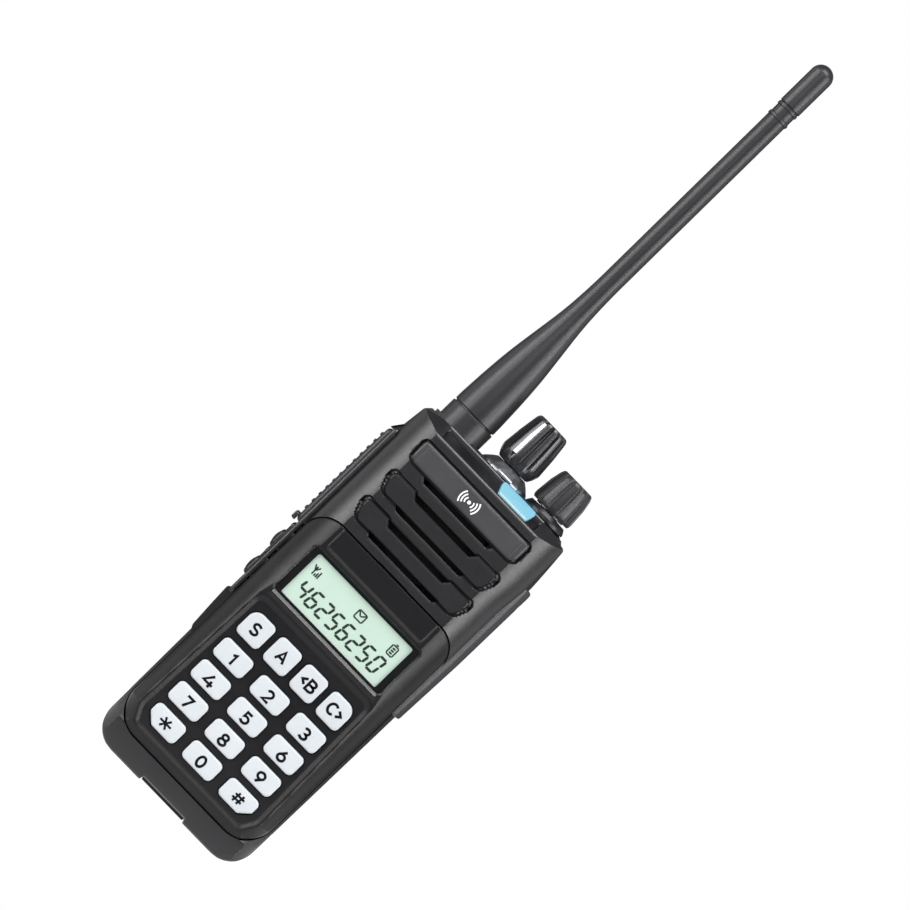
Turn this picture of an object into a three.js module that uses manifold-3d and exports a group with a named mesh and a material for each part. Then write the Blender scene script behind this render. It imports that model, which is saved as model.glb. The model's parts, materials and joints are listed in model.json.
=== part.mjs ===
// A handheld two way radio with a screw-on whip antenna, two top knobs, a display, a sixteen-key
// keypad, side buttons, a slide-off battery pack and a sprung belt clip.
// Millimetres, +Z up. The radio stands on its base at Z = 0, its front faces -Y and its antenna,
// seen from the front, is at the left (-X).
import * as THREE from "three";
import { mergeVertices } from "three/addons/utils/BufferGeometryUtils.js";
import Module from "manifold-3d";

const wasm = await Module();
wasm.setup();

// ---------------------------------------------------------------- driving dimensions
const GAP = 0.3; // clearance between pieces that meet

// Body, seen from the front: half widths at four heights, and the foot's corner radius.
const BODY_TOP = 122.5;
const FOOT_HALF = 26.6;
const FOOT_RADIUS = 8;
const WAIST_HALF = 27.1;
const WAIST_Z = 60;
const SHOULDER_Z = 108;
const TOP_HALF = 25.9;
const TOP_CORNER = 1.3;
const BAND_HALF = 18.5; // the flat middle of the front, between the two rounded flanks

// Body, from front to back.
const FRONT = -21.5;
const FLANK_BACK = -10; // where the rounded flanks run out into the flat sides
const PARTING = 0;
const CHASSIS_BACK = 2.8;
const BLOCK_BACK = 8.3; // back face of the chassis above the battery
const BATTERY_BACK = 12.5;
const CLIP_BACK = 21.6;
const WALL = 3;
const SKIN = 1.2; // thickness of the keypad panel
const CHAMFER_TOP_Y = -15; // the sloped edge between the front and the top
const CHAMFER_FRONT_Z = 118.6;

const NOTCH_HALF = 7.8; // thumb notch under the battery latch
const NOTCH_DEPTH = 1.3;

// Top controls, all on one line across the radio.
const TOP_Y = -7.5;
const ANTENNA = { x: -15.2, base: 128.7, tip: 259.6, rBase: 7, rWhip: 3, rCap: 3.3 };
const ANTENNA_BOSS = { r: 7.15, top: 128.4 };
const CHANNEL = { x: 1.6, bottom: 126.4, top: 141.8, rTop: 5.15, rWide: 6.35, collar: 8, ribs: 12 };
const VOLUME = { x: 16.7, bottom: 125.5, top: 136, rTop: 4.9, rWide: 6.35, collar: 6.6, ribs: 12 };
const SHAFT_R = 3;
const SHAFT_END = 112.5;
const BUSHING = { r: 4.5, top: 124 };

// Front features: half widths and heights.
const PLATE = { half: 18.9, z0: 108.2, z1: 115.4 };
const BAR = { half: 19.9, tall: 6.3, lows: [97.8, 88.1] };
const SLOTS = [[12, 106.7, 107.5], [10.7, 102.2, 103.7], [12, 96.7, 97.8], [10.7, 92.3, 93.9],
  [12, 86.8, 88.1]];
const PANEL = { half: 25.7, z0: 7, z1: 84.2, rTop: 7.5, rFoot: 9, back: -14.9 };
const WINDOW = { half: 19.4, z0: 60, z1: 76 };
const KEY_BED = { half: 20.5, z0: 10.2, z1: 56.8, floor: -21 };
const LIGHT = { x0: 2.6, x1: 14.6, z0: 119.3 };

// Keys: a row of four above four rows of three.
const KEY_FRONT = -21.7;
const KEY_BACK = -17.6;
const TOP_KEYS = { names: ["s", "a", "b", "c"], pitch: 9.85, z: 49.3, wide: 7.9, tall: 8.1 };
const PAD = { pitchX: 13.6, pitchZ: 8.13, top: 39.9, wide: 10.5, tall: 6.1 };
const PAD_NAMES = [["1", "2", "3"], ["4", "5", "6"], ["7", "8", "9"], ["star", "0", "hash"]];

// Left side: talk button and two small keys. Right side: accessory cover.
const TALK = { z0: 76.5, z1: 111, y0: -14, y1: -3.6, face: -29.1 };
const SIDE_KEYS = [{ z0: 66.4, z1: 74.1, face: -29 }, { z0: 56.6, z1: 64.6, face: -28.7 }];
const SIDE_KEY_Y = [-14, -6.4];
const COVER = { z0: 59, z1: 107, y0: -14.5, y1: -2.5, face: 28.9, seat: 25.9 };

const SPEAKER = { r: 13.5, z: 99.5 };
const BATTERY = { z0: 0.3, z1: 96.9, front: 3.1, split: 5.1, side: 0.6 };
const RAIL = { x0: 20, x1: 22, z0: 14, z1: 92, proud: 1.2 };
const TERMINAL = { half: 7, z0: 30, z1: 38 };
const BOSS = { x: 18, z: 8.8, r: 2.8 }; // the two case screws near the foot
const HINGE = { y: 14.5, z: 107, pinR: 1.1 }; // belt clip pin, along X
const CLIP = { half: 9.8, tall: 115, low: 45 };

// ---------------------------------------------------------------- finishes
const finish = (color, roughness, metalness = 0) =>
  new THREE.MeshStandardMaterial({ color, roughness, metalness });
const CASE = finish(0x3b3b3f, 0.55);
const DARK = finish(0x232326, 0.4);
const RUBBER = finish(0x2a2a2c, 0.85);
const GREY = finish(0x8a8c8f, 0.45, 0.4);
const KEYCAP = finish(0xe9edf0, 0.45);
const METAL = finish(0xb9bcc0, 0.35, 1);
const BOARD = finish(0x1f5a3a, 0.6);
const BRASS = finish(0xc9a24a, 0.35, 1);

// ---------------------------------------------------------------- geometry helpers
const V2 = (x, y) => new THREE.Vector2(x, y);

// A closed three.js geometry as a manifold solid.
function solid(geometry) {
  geometry.deleteAttribute("normal");
  geometry.deleteAttribute("uv");
  const merged = mergeVertices(geometry, 1e-4);
  return new wasm.Manifold(new wasm.Mesh({
    numProp: 3,
    vertProperties: merged.attributes.position.array,
    triVerts: new Uint32Array(merged.index.array),
  }));
}

// A box between two corners.
function box(x0, x1, y0, y1, z0, z1) {
  const shape = new THREE.BoxGeometry(x1 - x0, y1 - y0, z1 - z0);
  return solid(shape.translate((x0 + x1) / 2, (y0 + y1) / 2, (z0 + z1) / 2));
}

const extrude = (shape, depth) =>
  new THREE.ExtrudeGeometry(shape, { depth, bevelEnabled: false, curveSegments: 4 });

// A plan outline (x, y) between two heights.
const prismZ = (shape, z0, z1) => solid(extrude(shape, z1 - z0).translate(0, 0, z0));

// A front outline (x, z) between two depths.
const prismY = (shape, y0, y1) =>
  solid(extrude(shape, y1 - y0).rotateX(Math.PI / 2).translate(0, y1, 0));

// A side outline (y, z) between two places across.
function prismX(shape, x0, x1) {
  const turn = new THREE.Matrix4().makeBasis(
    new THREE.Vector3(0, 1, 0), new THREE.Vector3(0, 0, 1), new THREE.Vector3(1, 0, 0));
  return solid(extrude(shape, x1 - x0).applyMatrix4(turn).translate(x0, 0, 0));
}

// A round bar along X, Y or Z between two places on its axis; a and b are its other two places.
function rod(axis, r, from, to, a, b, sides = 16) {
  const bar = new THREE.CylinderGeometry(r, r, to - from, sides);
  const mid = (from + to) / 2;
  if (axis === "x") return solid(bar.rotateZ(Math.PI / 2).translate(mid, a, b));
  if (axis === "y") return solid(bar.translate(a, mid, b));
  return solid(bar.rotateX(Math.PI / 2).translate(a, b, mid));
}

// A turned piece about the vertical line at (x, y), from a profile of (radius, z) points.
function turned(profile, x, y, sides = 24) {
  const points = profile.map(([r, z]) => V2(r, z));
  return solid(new THREE.LatheGeometry(points, sides).rotateX(Math.PI / 2).translate(x, y, 0));
}

// An outline that is the same left and right, from its right half, foot to top.
function mirrored(right) {
  const left = right.map((p) => V2(-p.x, p.y)).reverse();
  return new THREE.Shape([...right, ...left]);
}

// Points on a quarter of an ellipse.
function arc(cx, cy, rx, ry, from, to, steps) {
  return Array.from({ length: steps + 1 }, (_, i) => {
    const angle = THREE.MathUtils.degToRad(from + ((to - from) * i) / steps);
    return V2(cx + rx * Math.cos(angle), cy + ry * Math.sin(angle));
  });
}

// A rectangle with round corners; low and high may have different radii.
function roundRect(x0, x1, z0, z1, rLow, rHigh = rLow, steps = 3) {
  return new THREE.Shape([
    ...arc(x1 - rLow, z0 + rLow, rLow, rLow, -90, 0, steps),
    ...arc(x1 - rHigh, z1 - rHigh, rHigh, rHigh, 0, 90, steps),
    ...arc(x0 + rHigh, z1 - rHigh, rHigh, rHigh, 90, 180, steps),
    ...arc(x0 + rLow, z0 + rLow, rLow, rLow, 180, 270, steps),
  ]);
}

const join = (parts) => parts.reduce((whole, part) => whole.add(part));
const cut = (whole, parts) => parts.reduce((left, part) => left.subtract(part), whole);

// ---------------------------------------------------------------- body outlines
// The front outline, shrunk by an inset.
function frontOutline(inset = 0) {
  const r = FOOT_RADIUS - inset;
  return mirrored([
    ...arc(FOOT_HALF - FOOT_RADIUS, FOOT_RADIUS, r, r, -90, 0, 6),
    V2(WAIST_HALF - inset, WAIST_Z),
    V2(WAIST_HALF - inset, SHOULDER_Z),
    V2(TOP_HALF - inset, BODY_TOP - TOP_CORNER - inset),
    V2(TOP_HALF - TOP_CORNER - inset, BODY_TOP - inset),
  ]);
}

// The body with rounded flanks and sloped top edge, shrunk by an inset, back to a given depth.
function bodyBlock(inset, back) {
  const side = WAIST_HALF - inset;
  const flank = arc(BAND_HALF, FLANK_BACK, side - BAND_HALF,
    FLANK_BACK - FRONT - inset, -90, 0, 6);
  const plan = mirrored([...flank, V2(side, back)]);
  const profile = new THREE.Shape([
    V2(FRONT + inset, 2.5 + inset),
    V2(FRONT + 2 + inset, inset),
    V2(back, inset),
    V2(back, BODY_TOP - inset),
    V2(CHAMFER_TOP_Y + inset, BODY_TOP - inset),
    V2(FRONT + inset, CHAMFER_FRONT_Z - inset),
  ]);
  return prismY(frontOutline(inset), FRONT - 1, back)
    .intersect(prismZ(plan, -1, BODY_TOP + 1))
    .intersect(prismX(profile, -30, 30));
}

const panelOutline = (grow) => roundRect(-PANEL.half - grow, PANEL.half + grow,
  PANEL.z0 - grow, PANEL.z1 + grow, PANEL.rFoot + grow, PANEL.rTop + grow, 5);

// ---------------------------------------------------------------- keys
function keyList() {
  const top = TOP_KEYS.names.map((name, i) => ({
    name: `key_${name}`,
    x: (i - 1.5) * TOP_KEYS.pitch,
    z: TOP_KEYS.z,
    wide: TOP_KEYS.wide,
    tall: TOP_KEYS.tall,
  }));
  const pad = PAD_NAMES.flatMap((row, r) => row.map((name, c) => ({
    name: `key_${name}`,
    x: (c - 1) * PAD.pitchX,
    z: PAD.top - r * PAD.pitchZ,
    wide: PAD.wide,
    tall: PAD.tall,
    clipped: { star: -1, hash: 1 }[name] ?? 0,
  })));
  return [...top, ...pad];
}
const KEYS = keyList();

// A key's front outline, grown all round; the two keys at the foot lose their outer corner.
function keyOutline(key, grow) {
  const halfW = key.wide / 2 + grow;
  const halfT = key.tall / 2 + grow;
  const outline = roundRect(key.x - halfW, key.x + halfW, key.z - halfT, key.z + halfT, 1.3);
  if (!key.clipped) return outline;
  const bite = 2.6;
  const right = key.clipped > 0 ? bite : 0;
  const left = key.clipped < 0 ? bite : 0;
  return new THREE.Shape([
    V2(key.x - halfW + left, key.z - halfT),
    V2(key.x + halfW - right, key.z - halfT),
    V2(key.x + halfW, key.z - halfT + right),
    V2(key.x + halfW, key.z + halfT - 1),
    V2(key.x + halfW - 1, key.z + halfT),
    V2(key.x - halfW + 1, key.z + halfT),
    V2(key.x - halfW, key.z + halfT - 1),
    V2(key.x - halfW, key.z - halfT + left),
  ].filter((point, i, all) => !point.equals(all.at(i - 1))));
}

function key(spec) {
  const flange = 0.4;
  const cap = prismY(keyOutline(spec, 0), KEY_FRONT, KEY_BACK - 0.3);
  const foot = box(spec.x - spec.wide / 2 - flange, spec.x + spec.wide / 2 + flange,
    KEY_BACK - 0.6, KEY_BACK, spec.z - spec.tall / 2 - flange, spec.z + spec.tall / 2 + flange);
  return cap.add(foot);
}

// ---------------------------------------------------------------- casing
// Everything on the left side that passes through the wall: the talk button and two keys.
const sideOpening = (z0, z1, y0, y1) =>
  box(-32, -22, y0 - GAP, y1 + GAP, z0 - GAP, z1 + GAP);

// A shallow outline groove round a raised bar or plate.
function groove(half, z0, z1, width, depth) {
  const outer = roundRect(-half - width, half + width, z0 - width, z1 + width, 2.2);
  const inner = roundRect(-half, half, z0, z1, 1.6);
  return cut(prismY(outer, FRONT - 1, FRONT + depth), [prismY(inner, FRONT - 2, FRONT + 5)]);
}

function frontCase() {
  const boss = rod("z", ANTENNA_BOSS.r, BODY_TOP - 1, ANTENNA_BOSS.top, ANTENNA.x, TOP_Y, 24);
  const screwPosts = [-1, 1].map((s) => rod("y", BOSS.r, FRONT + 2, -5, s * BOSS.x, BOSS.z, 12));
  const hollow = bodyBlock(WALL, PARTING + 5);
  const shell = bodyBlock(0, PARTING).subtract(hollow).add(boss);
  const seat = prismY(panelOutline(GAP), FRONT - 2, PANEL.back + GAP)
    .subtract(bodyBlock(SKIN + GAP, PARTING));
  return cut(join([shell, ...screwPosts]), [
    seat,
    ...screwPosts.map((_, i) => rod("y", 1.2, -12, 1, (2 * i - 1) * BOSS.x, BOSS.z, 10)),
    prismY(roundRect(-18.4, 18.4, WINDOW.z0 + 0.8, WINDOW.z1 - 0.8, 0.6), FRONT - 1, -18),
    ...KEYS.map((spec) => prismY(keyOutline(spec, GAP), FRONT - 1, -18)),
    prismY(roundRect(-4.5, 4.5, 83, 84.2, 0.5), FRONT - 1, -18),
    prismY(roundRect(-PLATE.half - GAP, PLATE.half + GAP, PLATE.z0 - GAP, PLATE.z1 + GAP, 1.7),
      FRONT - 1, FRONT + 0.9),
    ...BAR.lows.map((low) => groove(BAR.half - 0.6, low, low + BAR.tall, 0.6, 0.4)),
    ...SLOTS.map(([half, z0, z1]) => prismY(roundRect(-half, half, z0, z1, 0.35, 0.35, 2),
      FRONT - 1, -18)),
    box(LIGHT.x0 - GAP, LIGHT.x1 + GAP, -24, CHAMFER_TOP_Y, LIGHT.z0 - GAP, BODY_TOP + 1),
    ...[CHANNEL, VOLUME].map((c) => rod("z", BUSHING.r + GAP, 110, 130, c.x, TOP_Y)),
    rod("z", 4.3, 110, 130, ANTENNA.x, TOP_Y),
    sideOpening(TALK.z0, TALK.z1, TALK.y0, TALK.y1),
    ...SIDE_KEYS.map((k) => sideOpening(k.z0, k.z1, ...SIDE_KEY_Y)),
    box(COVER.seat - GAP, 30, COVER.y0 - GAP, COVER.y1 + GAP, COVER.z0 - GAP, COVER.z1 + GAP),
    box(22, 30, -13.3, -4.7, 77.7, 92.3),
    rod("x", 1.8, 22, 30, -8.5, 102, 10),
    box(-NOTCH_HALF, NOTCH_HALF, -30, 10, -1, NOTCH_DEPTH),
    box(-NOTCH_HALF, NOTCH_HALF, -1.8, 1, -1, WALL + 0.2),
  ]);
}

// The separate front panel round the display and keys, flush with the case.
function keypadPanel() {
  const sheet = bodyBlock(0, PARTING).subtract(bodyBlock(SKIN, PARTING + 1));
  return cut(sheet.intersect(prismY(panelOutline(0), FRONT - 2, PANEL.back)), [
    prismY(roundRect(-WINDOW.half, WINDOW.half, WINDOW.z0, WINDOW.z1, 0.8), FRONT - 1, -18),
    prismY(roundRect(-KEY_BED.half, KEY_BED.half, KEY_BED.z0, KEY_BED.z1, 3), FRONT - 1,
      KEY_BED.floor),
    prismY(roundRect(-16.4, 16.4, 77.7, 83.4, 1), FRONT - 1, FRONT + 0.4),
    prismY(roundRect(-5.2, 5.2, 83.6, 85, 0.4), FRONT - 2, -18),
    ...KEYS.map((spec) => prismY(keyOutline(spec, GAP), FRONT - 1, -18)),
  ]);
}

// The light guide follows the sloped edge and stands a hair proud of it.
function lightGuide() {
  const rim = bodyBlock(-0.2, PARTING).subtract(bodyBlock(1.8, PARTING + 1));
  return rim.intersect(box(LIGHT.x0, LIGHT.x1, -24, CHAMFER_TOP_Y - GAP, LIGHT.z0, 124));
}

// The cast frame that closes the back: a plate, the block above the battery, a flange that
// enters the case, and two rails for the battery.
function rearChassis() {
  const shell = bodyBlock(0.1, BLOCK_BACK);
  const plate = cut(shell, [
    box(-40, 40, -40, PARTING + GAP, -5, 130),
    box(-40, 40, CHASSIS_BACK, 20, -5, BATTERY.z1 + GAP),
  ]);
  const flange = prismY(frontOutline(4.6), -3, 1).subtract(prismY(frontOutline(6.1), -4, 2));
  const rails = [-1, 1].map((s) => box(s < 0 ? -RAIL.x1 : RAIL.x0, s < 0 ? -RAIL.x0 : RAIL.x1,
    CHASSIS_BACK - 0.5, CHASSIS_BACK + RAIL.proud, RAIL.z0, RAIL.z1));
  return cut(join([plate, flange, ...rails]), [
    box(-NOTCH_HALF, NOTCH_HALF, -10, 10, -1, 9.4),
    box(-TERMINAL.half - GAP, TERMINAL.half + GAP, -5, 10, TERMINAL.z0 - GAP,
      TERMINAL.z1 + GAP),
    ...[-1, 1].flatMap((s) => [
      rod("y", 1.8, -5, 5, s * BOSS.x, BOSS.z, 10),
      rod("y", 3.1, 1.2, 5, s * BOSS.x, BOSS.z, 12),
      rod("y", 1.5, 2, 10, s * 9, 115, 10),
    ]),
  ]);
}

const caseGasket = () =>
  prismY(frontOutline(3.3), -2.6, -1.6).subtract(prismY(frontOutline(4.3), -4, 0));

const namePlate = () => prismY(
  roundRect(-PLATE.half, PLATE.half, PLATE.z0, PLATE.z1, 1.4), FRONT + 0.1, FRONT + 0.6);

// ---------------------------------------------------------------- top controls
// The whip: a bored base that narrows to the rod, two rings and a round cap.
function antenna() {
  const { base, tip, rBase, rWhip, rCap } = ANTENNA;
  const neck = new THREE.SplineCurve([V2(rBase, base + 1.5), V2(6.2, 143.3), V2(5, 153.7),
    V2(3.6, 164.1), V2(rWhip, 179)]).getPoints(10).map((p) => [p.x, p.y]);
  const ring = (z) => [[rWhip, z - 0.9], [rCap, z - 0.5], [rCap, z + 0.5], [rWhip, z + 0.9]];
  const cap = arc(0, tip - rCap, rCap, rCap, 0, 80, 5).map((p) => [p.x, p.y]);
  return turned([[0, base + 4.8], [3.4, base + 4.8], [3.4, base], [rBase, base], ...neck,
    ...ring(240.5), [rWhip, 242.8], ...cap, [0, tip]], ANTENNA.x, TOP_Y, 20);
}

function antennaConnector() {
  return join([
    box(ANTENNA.x - 5, ANTENNA.x + 5, -12, -3.3, 110, BODY_TOP - WALL - GAP),
    rod("z", 4, 117, 127.8, ANTENNA.x, TOP_Y, 12),
    rod("z", 3.1, 127, 133, ANTENNA.x, TOP_Y, 12),
  ]);
}

// A ribbed knob with its shaft, and a pointer groove on its front.
function knob(c) {
  const outline = new THREE.Shape(Array.from({ length: c.ribs * 4 }, (_, i) => {
    const angle = ((i + 0.5) / (c.ribs * 4)) * 2 * Math.PI;
    const r = i % 4 < 2 ? c.rWide : c.rWide - 0.9;
    return V2(c.x + r * Math.cos(angle), TOP_Y + r * Math.sin(angle));
  }));
  const wide = c.bottom + 2;
  const envelope = turned([[0, c.bottom], [c.rTop - 0.3, c.bottom], [c.rWide, wide],
    [c.rTop, c.top - 0.7], [c.rTop - 0.7, c.top], [0, c.top]], c.x, TOP_Y, 24);
  const shaft = rod("z", SHAFT_R, SHAFT_END, c.bottom + 1, c.x, TOP_Y, 12);
  const pointer = box(c.x - 0.8, c.x + 0.8, TOP_Y - 8, TOP_Y - c.rTop + 0.3, wide, c.top + 1);
  return prismZ(outline, c.bottom, c.top).intersect(envelope).subtract(pointer).add(shaft);
}

// A cone-shaped dress ring under a knob.
function collar(c) {
  const top = c.bottom - GAP;
  const foot = BODY_TOP + GAP;
  const bore = BUSHING.r + GAP;
  return turned([[bore, foot], [c.collar, foot], [c.collar, foot + 0.6], [5.6, top], [bore, top],
    [bore, foot]], c.x, TOP_Y, 24);
}

// A rotary control under the top wall: body, threaded bushing and a bore for the shaft.
function rotaryControl(c) {
  const body = box(c.x - 5, c.x + 5, -12, -3.3, 106, BODY_TOP - WALL - GAP);
  const bushing = rod("z", BUSHING.r, 118, BUSHING.top, c.x, TOP_Y, 12);
  return body.add(bushing).subtract(rod("z", SHAFT_R + GAP, SHAFT_END - 0.5, 130, c.x, TOP_Y));
}

// ---------------------------------------------------------------- side controls
// A button that passes through the left wall, with a foot inside that keeps it in.
function sideButton(z0, z1, y0, y1, face) {
  const cap = prismX(roundRect(y0, y1, z0, z1, 2), face, -22.5);
  return cap.add(box(-22.9, -22.3, y0, y1 + 0.3, z0 - 0.6, z1 + 0.6));
}

function talkButton() {
  const ribs = 9;
  const pitch = (TALK.z1 - TALK.z0 - 6) / (ribs - 1);
  const grooves = Array.from({ length: ribs }, (_, i) => {
    const z = TALK.z0 + 3 + i * pitch;
    return box(TALK.face - 1, TALK.face + 0.5, TALK.y0 + 1.5, TALK.y1 - 1.5, z - 0.6, z + 0.6);
  });
  return cut(sideButton(TALK.z0, TALK.z1, TALK.y0, TALK.y1, TALK.face), grooves);
}

function accessoryCover() {
  const outline = roundRect(COVER.y0, COVER.y1, COVER.z0, COVER.z1, 2);
  const plate = prismX(outline, COVER.seat, COVER.face);
  return cut(plate, [
    rod("x", 1.8, 20, 30, -8.5, 102, 12),
    rod("x", 3.3, COVER.face - 1.6, 30, -8.5, 102, 16),
  ]);
}

function coverScrew() {
  const head = rod("x", 3, COVER.face - 1.3, COVER.face - 0.1, -8.5, 102, 16);
  const slot = box(COVER.face - 0.6, 30, -9, -8, 98, 106);
  return head.add(rod("x", 1.5, 21.5, COVER.face - 1, -8.5, 102, 10)).subtract(slot);
}

// ---------------------------------------------------------------- insides
// A thin round-cornered board between two depths.
const board = (half, z0, z1, y0, y1) => prismY(roundRect(-half, half, z0, z1, 1), y0, y1);

function speaker() {
  const rim = rod("y", SPEAKER.r, -17.6, -15.4, 0, SPEAKER.z, 24);
  const magnet = rod("y", 7, -15.8, -12.6, 0, SPEAKER.z, 16);
  const cone = rod("y", SPEAKER.r - 1.5, -18.2, -17, 0, SPEAKER.z, 24);
  return rim.add(magnet).subtract(cone);
}

// ---------------------------------------------------------------- battery
const batterySlab = (inset, y0, y1) =>
  prismY(frontOutline(BATTERY.side + inset), y0, y1)
    .intersect(box(-40, 40, y0, y1, BATTERY.z0 + inset, BATTERY.z1 - inset));

const batteryNotch = () => box(-NOTCH_HALF, NOTCH_HALF, -1, 20, -1, NOTCH_DEPTH);

// The tub that holds the cells, with its back edges sloped.
function batteryCase() {
  const front = BATTERY.split + GAP;
  const edge = new THREE.Shape([V2(-26.5, front), V2(26.5, front), V2(26.5, BATTERY_BACK - 3),
    V2(23.5, BATTERY_BACK), V2(-23.5, BATTERY_BACK), V2(-26.5, BATTERY_BACK - 3)]);
  return batterySlab(0, front, BATTERY_BACK)
    .intersect(prismZ(edge, -1, 120))
    .subtract(batterySlab(2.5, 0, BATTERY_BACK - 1.6))
    .subtract(batteryNotch());
}

// The front wall of the pack, with grooves for the rails and a pocket for the latch tooth.
function batteryLid() {
  const depth = BATTERY.front + RAIL.proud;
  return cut(batterySlab(0, BATTERY.front, BATTERY.split), [
    ...[-1, 1].map((s) => box(s < 0 ? -RAIL.x1 - GAP : RAIL.x0 - GAP,
      s < 0 ? -RAIL.x0 + GAP : RAIL.x1 + GAP, 0, depth, RAIL.z0 - GAP, 120)),
    box(-3, 3, 0, depth, 5.4, 8.6),
    box(-TERMINAL.half - GAP, TERMINAL.half + GAP, 0, 10, TERMINAL.z0 - GAP,
      TERMINAL.z1 + GAP),
    batteryNotch(),
  ]);
}

// The latch: a thumb plate in the notch with a tooth towards the battery.
function batteryLatch() {
  const plate = box(-6.8, 6.8, 0.6, 2.4, 1.6, 9);
  const tooth = box(-2.5, 2.5, 2, 2.8, 5.8, 8.2);
  const grips = [-4.5, -1.5, 1.5, 4.5].map((x) => box(x - 0.5, x + 0.5, 0, 3, 1, 2.2));
  return cut(plate.add(tooth), grips);
}

// ---------------------------------------------------------------- belt clip
function beltClip() {
  const inner = CLIP_BACK - 2.5;
  const arm = prismX(new THREE.Shape([
    V2(17.4, CLIP.tall), V2(inner, HINGE.z), V2(inner, 62), V2(13.4, 52), V2(16.4, CLIP.low),
    V2(18.6, CLIP.low), V2(17, 50.6), V2(CLIP_BACK, 59), V2(CLIP_BACK, HINGE.z),
    V2(19.6, CLIP.tall),
  ]), -CLIP.half, CLIP.half);
  const lugs = [-1, 1].flatMap((s) => {
    const [x0, x1] = s < 0 ? [-9.6, -6.4] : [6.4, 9.6];
    return [rod("x", 3.2, x0, x1, HINGE.y, HINGE.z), box(x0, x1, HINGE.y, inner + 1,
      HINGE.z - 2.6, HINGE.z + 2.6)];
  });
  return join([arm, ...lugs]).subtract(rod("x", HINGE.pinR + GAP, -20, 20, HINGE.y, HINGE.z, 12));
}

// The fixed half of the clip: a plate with two ears that carry the pin.
function clipBracket() {
  const back = BLOCK_BACK + GAP;
  const ears = [-1, 1].map((s) => prismX(roundRect(back + 1, HINGE.y + 3, 103, 111, 2.5),
    s < 0 ? -12.3 : 10.1, s < 0 ? -10.1 : 12.3));
  return cut(join([box(-13, 13, back, back + 1.6, 99, 119), ...ears]), [
    rod("x", HINGE.pinR + GAP, -20, 20, HINGE.y, HINGE.z, 12),
    ...[-9, 9].map((x) => rod("y", 1.8, 0, 20, x, 115, 12)),
  ]);
}

function clipSpring() {
  const outer = rod("x", 2.6, -5.8, 5.8, HINGE.y, HINGE.z, 16);
  return outer.subtract(rod("x", HINGE.pinR + GAP, -9, 9, HINGE.y, HINGE.z, 12));
}

// A screw along Y: its head at the back, its shank towards the front.
function screw(x, z, headR, head, shankR, tip) {
  const [head0, head1] = head;
  const cross = [box(x - 0.4, x + 0.4, head1 - 0.6, head1 + 1, z - 1.5, z + 1.5),
    box(x - 1.5, x + 1.5, head1 - 0.6, head1 + 1, z - 0.4, z + 0.4)];
  return cut(rod("y", headR, head0, head1, x, z, 14)
    .add(rod("y", shankR, tip, head0 + 0.2, x, z, 10)), cross);
}

// ---------------------------------------------------------------- assembly
const radio = new THREE.Group();

// Adds one named sub-part.
function add(name, shape, material) {
  const { vertProperties, triVerts } = shape.getMesh();
  const geometry = new THREE.BufferGeometry();
  geometry.setAttribute("position", new THREE.Float32BufferAttribute(vertProperties, 3));
  geometry.setIndex(new THREE.BufferAttribute(triVerts, 1));
  const flat = geometry.toNonIndexed();
  flat.computeVertexNormals();
  const mesh = new THREE.Mesh(flat, material);
  mesh.name = name;
  radio.add(mesh);
}

add("front_case", frontCase(), CASE);
add("keypad_panel", keypadPanel(), CASE);
add("rear_chassis", rearChassis(), DARK);
add("case_gasket", caseGasket(), RUBBER);
add("name_plate", namePlate(), DARK);
add("light_guide", lightGuide(), finish(0x66c8e8, 0.2));

add("antenna", antenna(), RUBBER);
add("antenna_connector", antennaConnector(), BRASS);
add("channel_knob", knob(CHANNEL), DARK);
add("channel_collar", collar(CHANNEL), GREY);
add("channel_selector", rotaryControl(CHANNEL), METAL);
add("volume_knob", knob(VOLUME), DARK);
add("volume_collar", collar(VOLUME), GREY);
add("volume_control", rotaryControl(VOLUME), METAL);

add("talk_button", talkButton(), RUBBER);
SIDE_KEYS.forEach((k, i) => {
  add(["side_key_upper", "side_key_lower"][i],
    sideButton(k.z0, k.z1, ...SIDE_KEY_Y, k.face), RUBBER);
});
add("side_switch_board", box(-21, -20.2, -14.5, -4.9, 57, 110), BOARD);
add("accessory_cover", accessoryCover(), DARK);
add("accessory_cover_screw", coverScrew(), METAL);
add("accessory_jack", box(20.7, 25, -13, -5, 78, 92), DARK);

KEYS.forEach((spec) => add(spec.name, key(spec), KEYCAP));
add("key_mat", board(19.6, 13, 54.2, -16.9, -16.1), RUBBER);
add("keypad_board", board(20, 13, 56, -15.8, -14.8), BOARD);
add("display_window",
  board(WINDOW.half - GAP, WINDOW.z0 + GAP, WINDOW.z1 - GAP, FRONT + 0.2, FRONT + 1.2),
  finish(0xcfe6d8, 0.1));
add("display_module", board(20, 58, 78, -18.1, -15.6), finish(0xb8cdbf, 0.3));
add("main_board", board(19.8, 14, 100, -9, -7.6), BOARD);
add("speaker", speaker(), METAL);
add("speaker_cloth", rod("y", SPEAKER.r, -18.3, -17.9, 0, SPEAKER.z, 24), RUBBER);
add("microphone", rod("y", 2, -18.2, -16, 0, 83.4, 12), METAL);
add("terminal_block",
  box(-TERMINAL.half, TERMINAL.half, -3, CHASSIS_BACK - 0.2, TERMINAL.z0, TERMINAL.z1), BRASS);

add("battery_case", batteryCase(), DARK);
add("battery_lid", batteryLid(), DARK);
add("battery_cell", box(-21, 21, 5.8, 10.5, 6, 90), finish(0x3f6fa8, 0.4));
add("battery_terminal",
  box(-TERMINAL.half, TERMINAL.half, BATTERY.front + 0.1, 5.5, TERMINAL.z0, TERMINAL.z1), BRASS);
add("battery_latch", batteryLatch(), DARK);
add("latch_spring",
  rod("y", 1.6, -3.4, -1.2, 0, 7.8, 12).subtract(rod("y", 0.9, -4, 0, 0, 7.8, 10)), METAL);

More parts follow.
